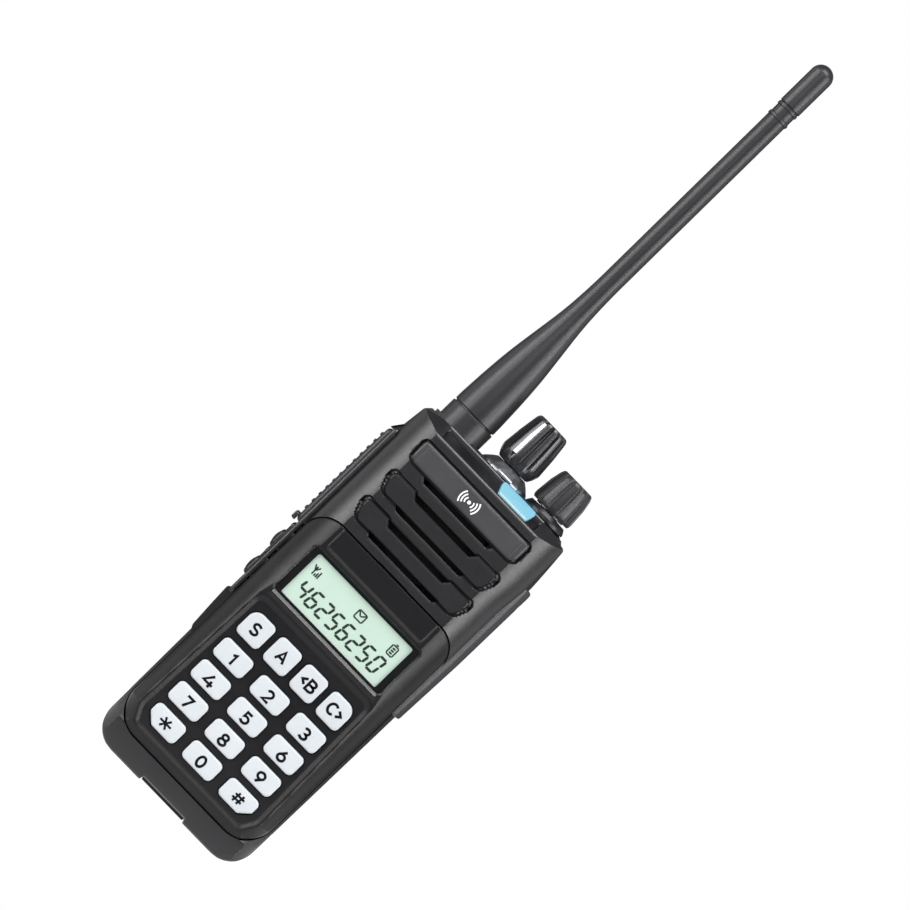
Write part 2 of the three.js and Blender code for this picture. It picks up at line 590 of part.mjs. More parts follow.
add("belt_clip", beltClip(), DARK);
add("clip_bracket", clipBracket(), METAL);
add("clip_pin", rod("x", HINGE.pinR, -12.2, 12.2, HINGE.y, HINGE.z, 12), METAL);
add("clip_spring", clipSpring(), METAL);
["left", "right"].forEach((side, i) => {
  const s = 2 * i - 1;
  const clipSeat = BLOCK_BACK + GAP + 1.6;
  add(`clip_screw_${side}`, screw(s * 9, 115, 2.7, [clipSeat + 0.2, clipSeat + 1.8], 1.2, 3), METAL);
  add(`case_screw_${side}`, screw(s * BOSS.x, BOSS.z, 2.7, [1.4, 2.7], 0.9, -10), METAL);
});

export default radio;
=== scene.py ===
"""Looks of the handheld two way radio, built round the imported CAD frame. Lengths are in
millimetres until a mesh is made; the meshes are in metres, in the CAD's own frame:
+Z up the antenna, the front faces -Y."""
import json
import math

import bmesh
import bpy
import numpy as np
from mathutils import Matrix, Vector

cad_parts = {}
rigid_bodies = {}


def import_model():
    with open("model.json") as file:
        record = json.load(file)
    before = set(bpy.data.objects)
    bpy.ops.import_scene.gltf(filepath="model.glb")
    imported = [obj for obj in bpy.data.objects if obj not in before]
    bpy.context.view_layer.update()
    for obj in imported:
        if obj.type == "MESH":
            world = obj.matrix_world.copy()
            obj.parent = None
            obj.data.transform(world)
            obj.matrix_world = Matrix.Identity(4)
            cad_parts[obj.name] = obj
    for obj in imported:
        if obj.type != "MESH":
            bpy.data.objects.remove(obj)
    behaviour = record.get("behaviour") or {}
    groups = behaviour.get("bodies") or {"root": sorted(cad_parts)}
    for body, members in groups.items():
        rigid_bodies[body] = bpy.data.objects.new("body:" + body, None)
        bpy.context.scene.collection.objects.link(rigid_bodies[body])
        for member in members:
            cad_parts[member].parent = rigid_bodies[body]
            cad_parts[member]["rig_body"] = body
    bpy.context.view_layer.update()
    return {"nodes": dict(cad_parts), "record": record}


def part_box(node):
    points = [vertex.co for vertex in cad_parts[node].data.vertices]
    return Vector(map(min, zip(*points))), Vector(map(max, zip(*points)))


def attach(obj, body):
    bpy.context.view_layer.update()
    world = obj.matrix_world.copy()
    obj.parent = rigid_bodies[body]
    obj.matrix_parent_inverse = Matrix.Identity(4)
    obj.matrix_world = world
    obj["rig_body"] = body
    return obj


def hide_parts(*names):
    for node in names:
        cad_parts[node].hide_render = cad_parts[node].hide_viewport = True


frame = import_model()

MM = 0.001


def box_mm(node):
    """Lowest and highest corner of a CAD node, in millimetres."""
    low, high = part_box(node)
    return np.array(low) / MM, np.array(high) / MM


# ------------------------------------------------------------------ driving dimensions
CASE_LOW, CASE_HIGH = box_mm("front_case")
WINDOW_LOW, WINDOW_HIGH = box_mm("display_window")
PANEL_LOW, PANEL_HIGH = box_mm("keypad_panel")
FRONT = CASE_LOW[1]
PARTING = CASE_HIGH[1]
WAIST_HALF = CASE_HIGH[0]
BODY_TOP = box_mm("rear_chassis")[1][2] + 0.1
FOOT_HALF = 26.6
FOOT_RADIUS = 8.0
WAIST_Z = 60.0
SHOULDER_Z = 108.0
TOP_HALF = 25.9
TOP_CORNER = 1.3
BAND_HALF = 18.5  # the flat band down the middle of the front
FLANK_BACK = -10.0  # depth at which the rounded flanks end
FLANK_TURN = 1.15  # 2 would make the flank a true ellipse; less turns it away at once
CHAMFER_Z = 118.6  # above it the front slopes back
CHAMFER_TOP_Y = -15.0
LIP_SLOPE = math.tan(math.radians(30))  # of the narrow bevels along the upper edges
NOTCH_HALF = 7.8
NOTCH_DEPTH = 1.3
NOTCH_REACH = 6.0  # height over which the thumb notch fades out
CHIN_STEP = 2.4  # how far the front's foot is set back
SHOULDER_DROP = 1.1
RIGHT_WIDER = 0.6  # the right shoulder stands this much further out than the left
CASE_WALL = 3.0
OUTSIDE = -30  # well outside the case, to the front and to the left
PANEL_TOP_R = 7.5
PANEL_FOOT_R = 9.0
CHANNEL_X, VOLUME_X, ANTENNA_X = (float(sum(box_mm(node))[0] / 2)
                                  for node in ("channel_knob", "volume_knob", "antenna"))
KNOB_Y = -7.5
SIDE_KEYS = ("side_key_upper", "side_key_lower")
SIDE_BUTTONS = ("talk_button", *SIDE_KEYS)

# Directions along the sloped top edge and out of it.
SLOPE_ALONG = np.array([0, CHAMFER_TOP_Y - FRONT, BODY_TOP - CHAMFER_Z])
SLOPE_ALONG /= np.linalg.norm(SLOPE_ALONG)
SLOPE_OUT = np.array([0, -SLOPE_ALONG[2], SLOPE_ALONG[1]])

KEY_NAMES = ["s", "a", "b", "c", *map(str, range(1, 10)), "star", "0", "hash"]
LEGENDS = {"s": "S", "a": "A", "b": "<B", "c": "C>", "star": "*", "hash": "#"}


# ------------------------------------------------------------------ materials
def new_material(name, color, roughness, metallic=0.0, specular=0.5):
    """A Principled material with its constant values on the shader's own sockets."""
    material = bpy.data.materials.new(name)
    material.use_nodes = True
    shader = material.node_tree.nodes["Principled BSDF"]
    shader.inputs["Base Color"].default_value = (*color, 1)
    shader.inputs["Roughness"].default_value = roughness
    shader.inputs["Metallic"].default_value = metallic
    shader.inputs["Specular IOR Level"].default_value = specular
    return material, shader


def add_node(material, kind, **values):
    """Adds a shader node; values name its input sockets."""
    node = material.node_tree.nodes.new(kind)
    for name, value in values.items():
        node.inputs[name.replace("_", " ")].default_value = value
    return node


def link(material, source, target):
    """Joins two sockets."""
    material.node_tree.links.new(source, target)


def coordinates(material, scale=(1, 1, 1)):
    """Object coordinates in metres, stretched by a scale."""
    source = add_node(material, "ShaderNodeTexCoord")
    mapping = add_node(material, "ShaderNodeMapping", Scale=scale)
    link(material, source.outputs["Object"], mapping.inputs["Vector"])
    return mapping.outputs["Vector"]


def noise(material, vector, scale, detail=3.0):
    """A noise texture's factor."""
    node = add_node(material, "ShaderNodeTexNoise", Scale=scale, Detail=detail)
    link(material, vector, node.inputs["Vector"])
    return node.outputs["Fac"]


def ramp(material, factor, low, high, start=0.3, stop=0.7):
    """A colour ramp between two colours."""
    node = add_node(material, "ShaderNodeValToRGB")
    first, last = node.color_ramp.elements
    first.position, first.color = start, (*low, 1)
    last.position, last.color = stop, (*high, 1)
    link(material, factor, node.inputs["Fac"])
    return node.outputs["Color"]


def grey_ramp(material, factor, low, high):
    """A ramp between two numbers."""
    return ramp(material, factor, (low,) * 3, (high,) * 3)


def drifting_roughness(material, shader, where, scale, low, high, detail=3.0):
    """Roughness that drifts between two numbers."""
    drift = grey_ramp(material, noise(material, where, scale, detail), low, high)
    link(material, drift, shader.inputs["Roughness"])


def combine(material, operation, first, second):
    """A Math node's result from two sockets, kept between 0 and 1."""
    node = add_node(material, "ShaderNodeMath")
    node.operation = operation
    node.use_clamp = True
    link(material, first, node.inputs[0])
    link(material, second, node.inputs[1])
    return node.outputs["Value"]


def bump(material, shader, height, strength, distance):
    """Relief on the shader's normal; the distance is in metres."""
    node = add_node(material, "ShaderNodeBump", Strength=strength, Distance=distance)
    link(material, height, node.inputs["Height"])
    link(material, node.outputs["Normal"], shader.inputs["Normal"])


def shade(color, factor):
    """A colour made darker or brighter."""
    return tuple(c * factor for c in color)


def moulded(name, color, roughness, grain=0.00004, specular=0.35, edge_highlight=1.25):
    """Moulded plastic or rubber: spark-eroded grain, faint blotches, and a painted highlight that
    makes sharp edges paler.
    """
    material, shader = new_material(name, color, roughness, specular=specular)
    where = coordinates(material)
    blotch = noise(material, where, 60, 4)
    tone = ramp(material, blotch, shade(color, 0.88), shade(color, 1.12))
    geometry = add_node(material, "ShaderNodeNewGeometry")
    # Painted highlight: at sharp edges, where the surface is pointy, the colour turns paler.
    edge = ramp(material, geometry.outputs["Pointiness"], (0, 0, 0), (1, 1, 1), 0.52, 0.60)
    mix = add_node(material, "ShaderNodeMix")
    mix.data_type = "RGBA"
    link(material, edge, mix.inputs["Factor"])
    link(material, tone, mix.inputs["A"])
    mix.inputs["B"].default_value = (*shade(color, edge_highlight), 1)
    link(material, mix.outputs["Result"], shader.inputs["Base Color"])
    drifting_roughness(material, shader, where, 900, roughness - 0.03, roughness + 0.03, 2)
    if grain:
        bump(material, shader, noise(material, where, 2600, 2), 0.35, grain)
    return material


def brushed(name, color, roughness, stretch=(1, 1, 40)):
    """Bare metal with fine scratches, drawn out where the stretch is large."""
    material, shader = new_material(name, color, roughness, metallic=1.0)
    scratch = noise(material, coordinates(material, stretch), 900, 4)
    tone = ramp(material, scratch, shade(color, 0.8), color)
    link(material, tone, shader.inputs["Base Color"])
    rough = grey_ramp(material, scratch, roughness + 0.12, roughness - 0.05)
    link(material, rough, shader.inputs["Roughness"])
    bump(material, shader, scratch, 0.15, 0.00002)
    return material


def woven(name, color):
    """Fine dust cloth: two crossed waves."""
    material, shader = new_material(name, color, 0.9, specular=0.1)
    where = coordinates(material)
    waves = []
    for axis in ("X", "Z"):
        wave = add_node(material, "ShaderNodeTexWave", Scale=900.0)
        wave.bands_direction = axis
        link(material, where, wave.inputs["Vector"])
        waves.append(wave.outputs["Fac"])
    weave = combine(material, "MULTIPLY", *waves)
    tone = ramp(material, weave, shade(color, 0.4), color)
    link(material, tone, shader.inputs["Base Color"])
    bump(material, shader, weave, 0.5, 0.0001)
    return material


def board_material():
    """Solder mask with a faint pattern of tracks."""
    green = (0.012, 0.10, 0.045)
    material, shader = new_material("solder_mask", green, 0.35)
    where = coordinates(material)
    bricks = add_node(material, "ShaderNodeTexBrick", Scale=180.0)
    link(material, where, bricks.inputs["Vector"])
    for name, factor in (("Color1", 1), ("Color2", 1.5), ("Mortar", 2.4)):
        bricks.inputs[name].default_value = (*shade(green, factor), 1)
    link(material, bricks.outputs["Color"], shader.inputs["Base Color"])
    drifting_roughness(material, shader, where, 400, 0.3, 0.45)
    return material


def glow_plastic(name, color, edge_color, roughness, strength):
    """Clear coloured plastic, lit a little from within, with painted shade that deepens its colour
    where its faces turn away from view.
    """
    material, shader = new_material(name, color, roughness)
    shader.inputs["Emission Strength"].default_value = strength
    # Painted shade: the colour deepens as the faces turn away from the view.
    facing = add_node(material, "ShaderNodeLayerWeight", Blend=0.35)
    where = coordinates(material)
    tone = ramp(material, facing.outputs["Facing"], color, edge_color, 0.1, 0.8)
    link(material, tone, shader.inputs["Base Color"])
    link(material, tone, shader.inputs["Emission Color"])
    drifting_roughness(material, shader, where, 500, roughness - 0.05, roughness + 0.05)
    return material


def keycap_material():
    """Frosted white key plastic with a faint mottle, a fine grain and a faint glow of its own,
    which is painted light.
    """
    white = (0.385, 0.408, 0.424)
    material, shader = new_material("key_white", white, 0.42, specular=0.4)
    where = coordinates(material)
    tone = ramp(material, noise(material, where, 220), shade(white, 0.965), white)
    link(material, tone, shader.inputs["Base Color"])
    # Painted light: a faint glow in the keys' own colour.
    link(material, tone, shader.inputs["Emission Color"])
    shader.inputs["Emission Strength"].default_value = 0.02
    drifting_roughness(material, shader, where, 1500, 0.36, 0.48)
    bump(material, shader, noise(material, where, 2500), 0.12, 0.00003)
    return material


def lens_material():
    """Clear hard-coated window: lets the display through; its outer faces mirror a little."""
    material = bpy.data.materials.new("clear_lens")
    material.use_nodes = True
    nodes = material.node_tree.nodes
    nodes.remove(nodes["Principled BSDF"])
    clear = nodes.new("ShaderNodeBsdfTransparent")
    clear.inputs["Color"].default_value = (0.97, 0.985, 0.975, 1)
    gloss = nodes.new("ShaderNodeBsdfGlossy")
    gloss.inputs["Color"].default_value = (1, 1, 1, 1)
    smear = grey_ramp(material, noise(material, coordinates(material), 90), 0.04, 0.10)
    link(material, smear, gloss.inputs["Roughness"])
    fresnel = add_node(material, "ShaderNodeFresnel", IOR=1.45)
    inside = nodes.new("ShaderNodeNewGeometry").outputs["Backfacing"]
    mix = nodes.new("ShaderNodeMixShader")
    mirror = combine(material, "SUBTRACT", fresnel.outputs["Fac"], inside)
    link(material, mirror, mix.inputs["Fac"])
    link(material, clear.outputs["BSDF"], mix.inputs[1])
    link(material, gloss.outputs["BSDF"], mix.inputs[2])
    link(material, mix.outputs["Shader"], nodes["Material Output"].inputs["Surface"])
    return material


def display_material():
    """Reflective liquid crystal: pale green, unevenly lit from within."""
    mint = (0.63, 0.76, 0.68)
    material, shader = new_material("display_mint", mint, 0.35, specular=0.3)
    where = coordinates(material)
    cloud = noise(material, where, 30, 2)
    for socket, low, high in (("Base Color", 0.49, 0.55), ("Emission Color", 0.94, 1.05)):
        tone = ramp(material, cloud, shade(mint, low), shade(mint, high))
        link(material, tone, shader.inputs[socket])
    shader.inputs["Emission Strength"].default_value = 0.27
    drifting_roughness(material, shader, where, 800, 0.3, 0.4)
    return material


CHARCOAL = (0.0095, 0.0095, 0.0105)
BLACK = (0.005, 0.005, 0.006)
# The record's material slots, and the finishes that only this script has.
MATERIALS = {
    "case": moulded("case_charcoal", CHARCOAL, 0.31, specular=0.42),
    "panel": moulded("panel_charcoal", shade(CHARCOAL, 0.7), 0.33, specular=0.21),
    "chassis": moulded("chassis_powder", (0.020, 0.020, 0.022), 0.62, grain=0.00012),
    "dark_trim": moulded("trim_black", BLACK, 0.32, grain=0.00003, specular=0.3),
    "battery_plastic": moulded("battery_black", (0.020, 0.020, 0.022), 0.55, grain=0.0001),
    "knob": moulded("knob_black", (0.016, 0.016, 0.018), 0.30, grain=0.00002, specular=0.6),
    "rubber": moulded("rubber_charcoal", (0.015, 0.015, 0.017), 0.36),
    "cloth": woven("dust_cloth", (0.012, 0.012, 0.012)),
    "collar": brushed("collar_metal", (0.24, 0.245, 0.26), 0.34, (1, 1, 1)),
    "plate": moulded("plate_satin", (0.028, 0.028, 0.030), 0.40, specular=0.55),
    "key_plastic": keycap_material(),
    "legend": moulded("legend_ink", (0.002, 0.002, 0.0025), 0.6, grain=0, specular=0.08),
    "white_ink": moulded("white_ink", (0.72, 0.73, 0.74), 0.45, grain=0, edge_highlight=1.0),
    "light": glow_plastic("light_blue", (0.19, 0.35, 0.41), (0.03, 0.20, 0.30), 0.25, 0.27),
    "window": lens_material(),
    "border": moulded("window_border", (0.003, 0.003, 0.003), 0.4, grain=0, specular=0.1),
    "display": display_material(),
    "segment": moulded("segment_dark", (0.016, 0.026, 0.020), 0.4, grain=0, specular=0.2, edge_highlight=1.0),
    "steel": brushed("dull_steel", (0.34, 0.345, 0.36), 0.40),
    "brass": brushed("contact_gold", (0.78, 0.58, 0.25), 0.25, (1, 40, 1)),
    "board": board_material(),
    "cell_wrap": moulded("cell_wrap_blue", (0.04, 0.13, 0.34), 0.25, grain=0, edge_highlight=1.1),
}


# ------------------------------------------------------------------ mesh helpers
def add_object(name, data):
    """A new object in the scene."""
    made = bpy.data.objects.new(name, data)
    bpy.context.scene.collection.objects.link(made)
    return made


def shade_smooth(mesh, sharp):
    """Smooth shading, with sharp edges where the faces turn by more than an angle."""
    mesh.polygons.foreach_set("use_smooth", [True] * len(mesh.polygons))
    mesh.set_sharp_from_angle(angle=math.radians(sharp))


def mesh_object(name, points, faces, material, sharp=35):
    """An object from points in millimetres."""
    mesh = bpy.data.meshes.new(name)
    mesh.from_pydata((np.asarray(points) * MM).tolist(), [], faces)
    mesh.validate()
    shade_smooth(mesh, sharp)
    mesh.materials.append(MATERIALS[material])
    return add_object(name, mesh)


def place(piece, body="radio_body", slot="case", *nodes):
    """Rides a piece on its body and hides the nodes it stands for. The slot is not used."""
    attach(piece, body)
    if nodes:
        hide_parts(*nodes)


def grid_faces(rows, columns):
    """Quads of a grid of points stored row by row."""
    first = (np.arange(rows - 1)[:, None] * columns + np.arange(columns - 1)).ravel()
    return np.stack([first, first + 1, first + columns + 1, first + columns], 1).tolist()


def loft(rings, cap=True):
    """Points and faces of closed rings joined one to the next, with flat ends."""
    count = len(rings[0])
    points = np.concatenate(rings)
    faces = []
    for r in range(len(rings) - 1):
        a = r * count
        faces += [(a + i, a + (i + 1) % count, a + count + (i + 1) % count, a + count + i)
                  for i in range(count)]
    if cap:
        faces.append(tuple(range(count))[::-1])
        faces.append(tuple(range(len(points) - count, len(points))))
    return points, faces


def lofted(name, rings, material, sharp=35):
    """A closed piece from rings of points."""
    return facing_out(mesh_object(name, *loft(rings), material, sharp))


def facing_out(piece):
    """Turns a closed piece's faces outwards."""
    work = bmesh.new()
    work.from_mesh(piece.data)
    bmesh.ops.recalc_face_normals(work, faces=work.faces)
    work.to_mesh(piece.data)
    work.free()
    return piece


def arc_points(cx, cy, r, start, stop, steps):
    """Points along an arc, its angles in degrees."""
    angles = np.radians(np.linspace(start, stop, steps + 1))
    return np.stack([cx + r * np.cos(angles), cy + r * np.sin(angles)], 1)


def round_rect(x0, x1, z0, z1, radii, steps=6):
    """Counter-clockwise outline with one radius, or one each for the corners: low right,
    high right, high left and low left."""
    a, b, c, d = np.broadcast_to(radii, 4)
    return np.concatenate([
        arc_points(x1 - a, z0 + a, a, -90, 0, steps),
        arc_points(x1 - b, z1 - b, b, 0, 90, steps),
        arc_points(x0 + c, z1 - c, c, 90, 180, steps),
        arc_points(x0 + d, z0 + d, d, 180, 270, steps)])


def at_depth(outline, y):
    """The points of an (x, z) outline at a depth."""
    outline = np.asarray(outline)
    return np.stack([outline[:, 0], np.full(len(outline), y), outline[:, 1]], 1)


def round_ring(x, y, radii, angles, z):
    """A level ring of points round (x, y)."""
    return np.stack([x + radii * np.cos(angles), y + radii * np.sin(angles),
                     np.full(len(angles), z)], 1)


def joined(parts):
    """Points and faces of several lofts as one."""
    faces = []
    start = 0
    for points, sides in parts:
        faces += [tuple(start + i for i in side) for side in sides]
        start += len(points)
    return np.concatenate([points for points, _ in parts]), faces


def inset(outline, distance):
    """The counter-clockwise outline moved inwards."""
    before = outline - np.roll(outline, 1, 0)
    after = np.roll(outline, -1, 0) - outline
    before /= np.linalg.norm(before, axis=1)[:, None]
    after /= np.linalg.norm(after, axis=1)[:, None]
    normal = np.stack([-(before + after)[:, 1], (before + after)[:, 0]], 1)
    normal /= np.linalg.norm(normal, axis=1)[:, None]
    turn = normal[:, 0] * -before[:, 1] + normal[:, 1] * before[:, 0]
    return outline + normal * (distance / turn)[:, None]


def soft_slab(name, outline, back, front, edge, material, crown=0.0, steps=4, to_world=None):
    """A slab of an (x, z) outline between two depths, its front edge rounded and its face
    crowned. to_world may lay its points elsewhere."""
    centre = (outline.max(0) + outline.min(0)) / 2
    rings = [(outline, back)]
    for angle in np.radians(np.linspace(0, 90, steps + 1)):
        ring = inset(outline, max(edge * (1 - math.cos(angle)), 1e-4))
        rings.append((ring, front + edge * (1 - math.sin(angle))))
    rim = rings[-1][0]
    for share in (0.92, 0.8, 0.6, 0.35, 0.12):
        rings.append((centre + (rim - centre) * share, front - crown * (1 - share ** 2)))
    points, faces = loft([at_depth(ring, y) for ring, y in rings])
    if to_world is not None:
        points = to_world(points)
    return facing_out(mesh_object(name, points, faces, material))


def turned(name, profile, x, y, material, sides=64, sharp=35):
    """A piece turned about the vertical line at (x, y) from (radius, z) points, closed at
    both ends on its axis."""
    angles = np.linspace(0, 2 * math.pi, sides, endpoint=False)
    return lofted(name, [round_ring(x, y, r, angles, z) for r, z in profile], material, sharp)


EDGE_ANGLE = 30  # degrees; the edges that turn more than this are rounded


def bevelled(node, slot, width):
    """A CAD node's shape with its flat faces merged and its edges rounded."""
    source = frame["nodes"][node]
    work = bmesh.new()
    work.from_mesh(source.data)
    bmesh.ops.remove_doubles(work, verts=work.verts, dist=0.002 * MM)
    bmesh.ops.dissolve_limit(work, angle_limit=math.radians(1), verts=work.verts,
                             edges=work.edges)
    mesh = bpy.data.meshes.new(node + "_shape")
    work.to_mesh(mesh)
    work.free()
    mesh.materials.clear()
    mesh.materials.append(MATERIALS[slot])
    piece = add_object(node + "_piece", mesh)
    soft = piece.modifiers.new("edges", "BEVEL")
    soft.width = width * MM
    soft.segments = 3
    soft.limit_method = "ANGLE"
    soft.angle_limit = math.radians(EDGE_ANGLE)
    bake_modifiers(piece)
    shade_smooth(piece.data, EDGE_ANGLE)
    place(piece, source["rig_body"], slot, node)


def bake_modifiers(piece):
    """Replaces a piece's mesh by what its modifiers make of it."""
    graph = bpy.context.evaluated_depsgraph_get()
    made = bpy.data.meshes.new_from_object(piece.evaluated_get(graph))
    piece.modifiers.clear()
    piece.data = made


def carve(piece, cutters, sharp=35):
    """Cuts the cutters out of a closed piece and removes them."""
    for cutter in cutters:
        cut = piece.modifiers.new("cut", "BOOLEAN")
        cut.operation = "DIFFERENCE"
        cut.solver = "MANIFOLD"
        cut.object = cutter
    bake_modifiers(piece)
    for cutter in cutters:
        bpy.data.objects.remove(cutter)
    shade_smooth(piece.data, sharp)


def fillet(corners, radii, steps=6):
    """A polygon's outline with its corners rounded, counter-clockwise as the corners are."""
    corners = np.asarray(corners, float)
    radii = np.broadcast_to(radii, len(corners))
    outline = []
    for i, corner in enumerate(corners):
        to_last = corners[i - 1] - corner
        to_next = corners[(i + 1) % len(corners)] - corner
        to_last /= np.linalg.norm(to_last)
        to_next /= np.linalg.norm(to_next)
        half = math.acos(np.clip(to_last @ to_next, -1, 1)) / 2
        reach = radii[i] / math.tan(half)
        middle = to_last + to_next
        centre = corner + middle / np.linalg.norm(middle) * radii[i] / math.sin(half)
        first = corner + to_last * reach - centre
        last = corner + to_next * reach - centre
        start = math.atan2(first[1], first[0])
        sweep = (math.atan2(last[1], last[0]) - start + math.pi) % (2 * math.pi) - math.pi
        for angle in start + sweep * np.linspace(0, 1, steps + 1):
            outline.append(centre + radii[i] * np.array([math.cos(angle), math.sin(angle)]))
    return np.array(outline)


def prism(outline, back, front):
    """A plain closed prism of an (x, z) outline, for cutting."""
    return lofted("cutter", [at_depth(outline, y) for y in (back, front)], "case")


def block(x0, x1, y0, y1, z0, z1, r=0.05):
    """A box for cutting, its corners rounded in front view."""
    return prism(round_rect(x0, x1, z0, z1, r, 2), y0, y1)


def flat_ring(name, outer, inner, back, front, material):
    """A flat ring between two (x, z) outlines that have as many points each."""
    rings = [at_depth(outline, y)
             for outline, y in ((outer, back), (outer, front), (inner, front), (inner, back))]
    points, faces = loft(rings, cap=False)
    count = len(outer)
    faces += [(3 * count + i, 3 * count + (i + 1) % count, (i + 1) % count, i)
              for i in range(count)]
    return facing_out(mesh_object(name, points, faces, material))


def mirrored(half):
    """A counter-clockwise polygon from its right half, listed from the low middle up."""
    return half + [(-x, z) for x, z in reversed(half)]


# ------------------------------------------------------------------ relief
def polygon_distance(x, z, corners):
    """Distance of each point from a polygon, negative inside it."""
    nearest = np.full(x.shape, 1e9)
    inside = np.zeros(x.shape, bool)
    for (ax, az), (bx, bz) in zip(corners, np.roll(corners, -1, 0)):
        ex, ez = bx - ax, bz - az
        share = np.clip(((x - ax) * ex + (z - az) * ez) / (ex * ex + ez * ez), 0, 1)
        nearest = np.minimum(nearest, np.hypot(x - ax - share * ex, z - az - share * ez))
        if ez:
            inside ^= ((az > z) != (bz > z)) & (x < ax + (z - az) * ex / ez)
    return np.where(inside, -nearest, nearest)


def pressed(x, z, outline, depth, start, stop):
    """A bed inside an outline, whose side runs from one distance inside it to another."""
    return depth * smooth_step(-polygon_distance(x, z, outline), start, stop)


def smooth_step(value, start, stop):
    """0 up to start, 1 from stop on, eased between them."""
    share = np.clip((value - start) / (stop - start), 0, 1)
    return share * share * (3 - 2 * share)


def smooth_max(a, b, blend):
    """The larger of two, rounded off where they cross."""
    return 0.5 * (a + b + np.sqrt((a - b) ** 2 + blend * blend))


def round_drop(inside, radius):
    """How far a rounded edge falls away, at a distance inside its rim."""
    left = radius - np.clip(inside, 0, radius)
    return radius - np.sqrt(radius ** 2 - left ** 2)


def body_half(z):
    """Half width of the body's front outline at a height."""
    side = np.interp(z, [FOOT_RADIUS, WAIST_Z, SHOULDER_Z, BODY_TOP - TOP_CORNER],
                     [FOOT_HALF, WAIST_HALF, WAIST_HALF, TOP_HALF])
    return side - round_drop(z, FOOT_RADIUS) - round_drop(BODY_TOP - z, TOP_CORNER)


def flank_depth(x, band, turn=FLANK_TURN):
    """Depth of the rounded flank beside the flat band."""
    share = np.clip((np.abs(x) - band) / (WAIST_HALF - band), 0, 1)
    return FLANK_BACK + (FRONT - FLANK_BACK) * np.sqrt(1 - share ** turn)


def mix_rows(*parts):
    """Heights from (start, stop, spacing) parts."""
    rows = [np.arange(start, stop, spacing) for start, stop, spacing in parts]
    return np.append(np.concatenate(rows), parts[-1][1])


# ------------------------------------------------------------------ front case
def bar_outline(foot):
    """A louvre bar: wide shoulders, a lowered middle and ends that lean in at the foot."""
    half = [(17.6, 0), (19.85, 5.9), (11.6, 5.9), (10.0, 4.2)]
    radii = [1.8, 1.4, 0.4, 0.4]
    return fillet([(x, foot + z) for x, z in mirrored(half)], radii + radii[::-1])


def slot_outline(top, tall):
    """The dark slot under a bar or under the name plate."""
    return mirrored([(11.7, top - tall), (12.9, top)])


PLATE_POCKET = fillet(mirrored([(19.85, 108.4), (19.85, 116.0)]), (2.4, 1.5, 1.5, 2.4))
SLOTS = [slot_outline(108.3, 1.4), slot_outline(98.0, 1.3), slot_outline(88.3, 1.4),
         mirrored([(10.0, 102.2), (11.3, 103.75)]), mirrored([(10.0, 92.5), (11.3, 94.05)])]
BARS = [bar_outline(98.0), bar_outline(88.3)]
STRIP = fillet(mirrored([(16.9, 119.15), (17.2, 121.75)]), 0.4)


def case_relief(x, z):
    """How deep the front is pressed in: the plate's bed, grooves and the black strip's bed."""
    beds = [pressed(x, z, PLATE_POCKET, 1.3, -0.15, 0.1), pressed(x, z, STRIP, 0.8, -0.12, 0.16),
            *(pressed(x, z, slot, 0.5, -0.35, 0.0) for slot in SLOTS)]
    wide = 0.5 + 0.5 * smooth_step(np.abs(x), 17.0, 19.3)
    for bar in BARS:
        outside = polygon_distance(x, z, bar)
        groove = smooth_step(outside, -0.12, 0.12) * (1 - smooth_step(outside - wide, -0.15, 0.2))
        beds.append(1.1 * groove)
    return np.maximum.reduce(beds)


def chamfer_depth(z):
    """Depth of the sloped top edge at a height."""
    slope = (CHAMFER_TOP_Y - FRONT) / (BODY_TOP - CHAMFER_Z)
    return FRONT + (z - CHAMFER_Z) * slope


def case_front(x, z):
    """Depth of the case's front before relief: band, flanks, top chamfer and sloped chin."""
    rounder_at_foot = np.interp(z, [9, 20], [1.9, FLANK_TURN])
    depth = flank_depth(x, BAND_HALF, rounder_at_foot)
    depth = np.maximum(depth, FRONT + (z - CHAMFER_Z + 0.42) * LIP_SLOPE)
    depth = smooth_max(depth, chamfer_depth(z), 0.06)
    low = np.clip(FOOT_RADIUS - z, 0, None)
    wide = np.clip(np.abs(x) - (FOOT_HALF - FOOT_RADIUS), 0, None)
    from_edge = FOOT_RADIUS - np.hypot(low, np.where(low > 0, wide, 0))
    from_edge = np.minimum(from_edge, body_half(z) - np.abs(x))
    rim = depth.min() + round_drop(from_edge, 1.8) + np.where(z < FOOT_RADIUS, CHIN_STEP, 0)
    return np.maximum(depth, rim)


def case_columns(half):
    """Places across the front at a given half width, dense on the flanks' edges."""
    edge = min(BAND_HALF, half - 0.2)
    turn = np.sin(np.linspace(0, math.pi / 2, 37))[1:]
    flank = edge + (half - edge) * turn
    band = np.linspace(-edge, edge, 149)
    return np.concatenate([-flank[::-1], band, flank])


def relief_piece(name, grid, back, material):
    """A closed piece from a grid of points of its front and sides: its back is flat."""
    ends = grid[[0, -1]].copy()
    ends[..., 1] = back
    grid = np.concatenate([ends[:1], grid, ends[1:]])
    piece = mesh_object(name, grid.reshape(-1, 3), grid_faces(*grid.shape[:2]), material, 30)
    close_back(piece)
    return piece


